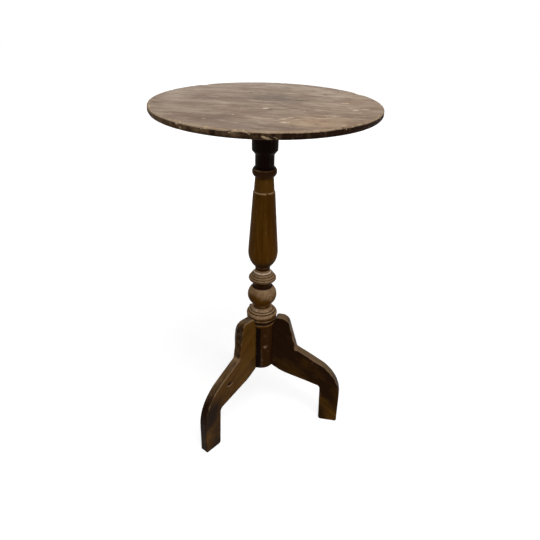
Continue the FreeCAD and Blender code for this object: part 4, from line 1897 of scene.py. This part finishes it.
@dataclass
class Bearer:
    """The batten under the top, its screws and the wedge in the tenon."""

    finish: WoodFinish
    iron: IronFinish
    wedge: WoodFinish
    arris: float = 1.2 * MM
    shortest_arris: float = 4.0 * MM
    flat_turn: float = math.radians(2)
    sharp_turn: float = math.radians(12)
    crease: float = math.radians(25)
    head_radius: float = 4.3 * MM
    head_height: float = 2.6 * MM
    shank_radius: float = 2.2 * MM
    point_radius: float = 0.2 * MM
    point_length: float = 4.0 * MM
    slot_half: float = 0.55 * MM
    slot_depth: float = 0.9 * MM
    spacing: tuple[float, float] = (46.0 * MM, 130.0 * MM)
    segments: int = 32
    land_points: int = 15

    def build(self) -> None:
        """Ease the batten's arrises, turn the screws and dress all three."""
        self.build_batten()
        self.build_screws()
        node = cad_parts["tenon_wedge"]
        node.data.materials.clear()
        node.data.materials.append(self.wedge.material())
        LOG.info("tenon_wedge: dressed")

    def build_batten(self) -> None:
        """Copy the batten's solid, ease its arrises and dress it."""
        solid = bmesh.new()
        solid.from_mesh(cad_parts["top_bearer"].data)
        bmesh.ops.remove_doubles(solid, verts=solid.verts, dist=0.01 * MM)
        bmesh.ops.dissolve_limit(solid, angle_limit=self.flat_turn, verts=solid.verts, edges=solid.edges)
        arrises = [
            edge for edge in solid.edges
            if edge.is_manifold and edge.calc_face_angle() > self.sharp_turn
            and edge.calc_length() > self.shortest_arris
        ]
        bmesh.ops.bevel(solid, geom=arrises, offset=self.arris, segments=3, profile=0.5, affect="EDGES")
        bmesh.ops.triangulate(solid, faces=solid.faces)
        mesh = bpy.data.meshes.new("batten")
        solid.to_mesh(mesh)
        solid.free()
        points = np.array([vertex.co for vertex in mesh.vertices])
        faces = [tuple(polygon.vertices) for polygon in mesh.polygons]
        zero = np.zeros(len(points))
        paint = {"wear_and_highlight": zero, "grime_and_shade": zero, "lot": zero + 5.9}
        Shape(points, faces, paint).piece("cross_batten", self.finish, "top_bearer", crease=self.crease)

    def screw(self, centre: np.ndarray, low: float, high: float) -> list[Solid]:
        """Return one slotted screw: its cone and shank, and the lands beside its slot.

        Args:
            centre: Where its axis is.
            low: The level of its head.
            high: The level of its point.

        Returns:
            Three solids that touch.
        """
        slot_floor = low + self.slot_depth
        stations = (
            (self.head_radius, slot_floor),
            (self.shank_radius, low + self.head_height),
            (self.shank_radius, high - self.point_length),
            (self.point_radius, high),
        )
        angles = np.arange(self.segments) * (math.tau / self.segments)
        circle = np.stack((np.cos(angles), np.sin(angles)), 1)
        rings = [np.column_stack((circle * radius + centre, np.full(self.segments, level)))
                 for radius, level in stations]
        solids = [(np.concatenate(rings), tube_faces(len(stations), self.segments))]
        edge = math.asin(self.slot_half / self.head_radius)
        sweep = np.linspace(edge, math.pi - edge, self.land_points)
        for side in (-1, 1):
            arc = np.stack((np.cos(sweep), side * np.sin(sweep)), 1)[::side]
            land = arc * self.head_radius + centre
            ends = [np.column_stack((land, np.full(len(land), level))) for level in (low, slot_floor)]
            solids.append((np.concatenate(ends), tube_faces(2, len(land))))
        return solids

    def build_screws(self) -> None:
        """Turn four slotted screws with their heads flush in the batten."""
        low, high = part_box("bearer_screws")
        solids = []
        for across in (-1, 1):
            for along in (-1, 1):
                centre = np.array((across * self.spacing[0] / 2, along * self.spacing[1] / 2))
                solids += self.screw(centre, low.z, high.z)
        Shape(*joined(solids)).piece("slotted_screws", self.iron, "bearer_screws")


@dataclass
class PhotoCamera:
    """The camera as it stood for the photograph, worked out from the table's outline."""

    focal_pixels: float = 530.0
    frame_pixels: float = 540.0
    sensor: float = 36.0
    position: Triple = (0.1753, -0.9459, 0.9025)
    heading: float = math.radians(9.59)
    tilt: float = math.radians(61.34)
    roll: float = math.radians(1.6)

    def build(self) -> None:
        """Set up the camera and make it the scene's."""
        data = bpy.data.cameras.new("photo_camera")
        data.sensor_fit = "HORIZONTAL"
        data.sensor_width = self.sensor
        data.lens = self.focal_pixels / self.frame_pixels * self.sensor
        camera = bpy.data.objects.new("photo_camera", data)
        bpy.context.scene.collection.objects.link(camera)
        turn = Matrix.Rotation(self.heading, 4, "Z") @ Matrix.Rotation(self.tilt, 4, "X")
        turn = turn @ Matrix.Rotation(self.roll, 4, "Z")
        camera.matrix_world = Matrix.Translation(self.position) @ turn
        bpy.context.scene.camera = camera


@dataclass(frozen=True)
class Lamp:
    """One soft studio lamp that looks at the table."""

    name: str
    position: Triple
    size: float
    power: float


@dataclass
class Studio:
    """A plain pale floor, a white surround and soft lamps."""

    floor_half: float = 6.0
    target: Triple = (0.0, 0.0, 0.4)
    ambient: float = 0.16
    lamps: tuple[Lamp, ...] = (
        Lamp("overhead", (0.5, -0.9, 2.5), 1.6, 30.0),
        Lamp("right_fill", (1.9, -1.3, 1.7), 1.4, 14.0),
        Lamp("front_fill", (-0.8, -2.1, 1.7), 1.6, 10.0),
        Lamp("back_fill", (-0.6, 2.1, 1.8), 1.6, 17.0),
    )

    def seen_directly(self, shader: Shader) -> Socket:
        """Return which rays show the background itself.

        Args:
            shader: The floor's or the world's nodes.

        Returns:
            1 for what is seen or mirrored, and 0 for light that bounces.
        """
        path = shader.node("LightPath", {})
        direct = shader.sum(path.outputs["Is Camera Ray"], path.outputs["Is Glossy Ray"])
        direct = shader.sum(direct, path.outputs["Is Transmission Ray"])
        return shader.node("Math", {0: direct, 1: 1.0}, operation="MINIMUM").outputs[0]

    def build_floor(self) -> None:
        """Lay the floor, which shows white and keeps the table's shadow."""
        half = self.floor_half
        mesh = bpy.data.meshes.new("pale_floor")
        corners = [(-half, -half, 0), (half, -half, 0), (half, half, 0), (-half, half, 0)]
        mesh.from_pydata(corners, [], [(0, 1, 2, 3)])
        floor = bpy.data.objects.new("pale_floor", mesh)
        bpy.context.scene.collection.objects.link(floor)
        material = new_material("pale_floor")
        shader = Shader(material.node_tree)
        matt = shader.node("BsdfDiffuse", {"Color": (0.3, 0.29, 0.28)}).outputs[0]
        lit = shader.node("BsdfDiffuse", {"Color": (0.5, 0.5, 0.5)}).outputs[0]
        reach = shader.node("VectorMath", {0: shader.point()}, operation="LENGTH").outputs["Value"]
        fade = shader.scaled(shader.step(reach, 0.4, 1.8), 0.27, 0.73)
        glow = shader.node("Emission", {"Color": (1.0, 1.0, 1.0), "Strength": fade}).outputs[0]
        shown = shader.node("AddShader", {0: lit, 1: glow}).outputs[0]
        both = shader.node("MixShader", {0: self.seen_directly(shader), 1: matt, 2: shown}).outputs[0]
        shader.put(shader.nodes["Material Output"].inputs["Surface"], both)
        mesh.materials.append(material)

    def build_world(self) -> None:
        """Surround the scene with white that lights it only a little."""
        world = bpy.data.worlds.new("white_surround")
        world.use_nodes = True
        bpy.context.scene.world = world
        shader = Shader(world.node_tree)
        background = shader.nodes["Background"].inputs
        shader.put(background["Color"], (1.0, 1.0, 1.0))
        inputs = {"To Min": self.ambient, "Value": self.seen_directly(shader)}
        shader.put(background["Strength"], shader.node("MapRange", inputs).outputs[0])

    def build_lamps(self) -> None:
        """Hang the lamps and aim them at the table."""
        for lamp in self.lamps:
            data = bpy.data.lights.new(lamp.name, "AREA")
            data.shape = "DISK"
            data.size = lamp.size
            data.energy = lamp.power
            made = bpy.data.objects.new(lamp.name, data)
            bpy.context.scene.collection.objects.link(made)
            made.location = lamp.position
            aim = Vector(self.target) - Vector(lamp.position)
            made.rotation_euler = aim.to_track_quat("-Z", "Y").to_euler()

    def build(self) -> None:
        """Set up the floor, the surround, the lamps and the plain view."""
        self.build_floor()
        self.build_world()
        self.build_lamps()
        bpy.context.scene.view_settings.view_transform = "Standard"


TOP_WOOD = TopFinish(
    "worn_top_wood", "top_wood", grain=Grain.ALONG_X, streaks=90.0, stretch=9.0,
    dark=srgb(112, 91, 72), middle=srgb(145, 125, 106), light=srgb(170, 151, 131),
    worn=srgb(184, 162, 138), grime_and_shade=srgb(78, 58, 44), dust_and_highlight=srgb(180, 164, 146),
    mottle=0.6, figure=0.16, smooth_roughness=0.55, worn_roughness=0.75, ior=1.1)
# The column's pale dust colour stands for the painted highlight on its coves.
COLUMN_WOOD = ColumnFinish(
    "column_varnish", "column_wood", grain=Grain.ALONG_Z, streaks=130.0,
    dark=srgb(62, 31, 3), middle=srgb(86, 52, 8), light=srgb(104, 68, 18),
    worn=srgb(156, 127, 95), grime_and_shade=srgb(36, 18, 6), dust_and_highlight=srgb(226, 202, 180),
    figure=0.15, smooth_roughness=0.5)
LEG_WOOD = LegFinish(
    "leg_varnish", "leg_wood", grain=Grain.ALONG_LEG, streaks=110.0,
    dark=srgb(86, 54, 14), middle=srgb(101, 67, 20), light=srgb(115, 80, 28),
    worn=srgb(152, 124, 94), grime_and_shade=srgb(34, 17, 6), dust_and_highlight=srgb(118, 95, 70), figure=0.1)
BEARER_WOOD = WoodFinish(
    "batten_wood", "bearer_wood", grain=Grain.ALONG_Y, streaks=95.0,
    dark=srgb(56, 35, 20), middle=srgb(92, 62, 38), light=srgb(126, 92, 60),
    worn=srgb(150, 118, 84), grime_and_shade=srgb(40, 24, 12), dust_and_highlight=srgb(150, 130, 108),
    figure=0.45, smooth_roughness=0.62, worn_roughness=0.75)
PEG_WOOD = WoodFinish(
    "peg_end_grain", "peg_wood", grain=Grain.ALONG_X, streaks=500.0, stretch=2.0,
    dark=srgb(100, 72, 54), middle=srgb(126, 96, 76), light=srgb(148, 118, 96),
    worn=srgb(170, 142, 116), grime_and_shade=srgb(70, 46, 30), dust_and_highlight=srgb(170, 150, 128),
    smooth_roughness=0.6, worn_roughness=0.75)
SCREW_IRON = IronFinish("dark_iron", "screw_iron")
KNOT = Dent(110.0, 148.0, 8.0, 4.6, 2.4)


def main() -> None:
    """Build the table piece by piece, then the studio and the camera."""
    logging.basicConfig(level=logging.INFO, format="%(name)s %(message)s")
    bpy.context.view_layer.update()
    TableTop(TOP_WOOD).build()
    Bearer(BEARER_WOOD, SCREW_IRON, PEG_WOOD).build()
    Column(COLUMN_WOOD).build()
    # The right leg's face turns from the light, so its shade is partly painted shade.
    Leg(LEG_WOOD, "leg_right", 0, shade=(0.18, 0.3)).build()
    Leg(LEG_WOOD, "leg_back", 1, shade=(0.1, 0.14), ear_rise=13.2 * MM,
        ear_rounds=(2.0 * MM, 16.0 * MM)).build()
    Leg(LEG_WOOD, "leg_left", 2, shade=(0.1, -0.03), dustiness=0.6, edge_shade=0.2,
        dented=PlankFace.PLUS_Y, dents=(KNOT,), ear_rise=24.0 * MM, ear_width=34.0 * MM,
        ear_rounds=(8.0 * MM, 11.0 * MM)).build()
    Pegs(PEG_WOOD).build()
    Studio().build()
    PhotoCamera().build()


if __name__ == "__main__":
    main()
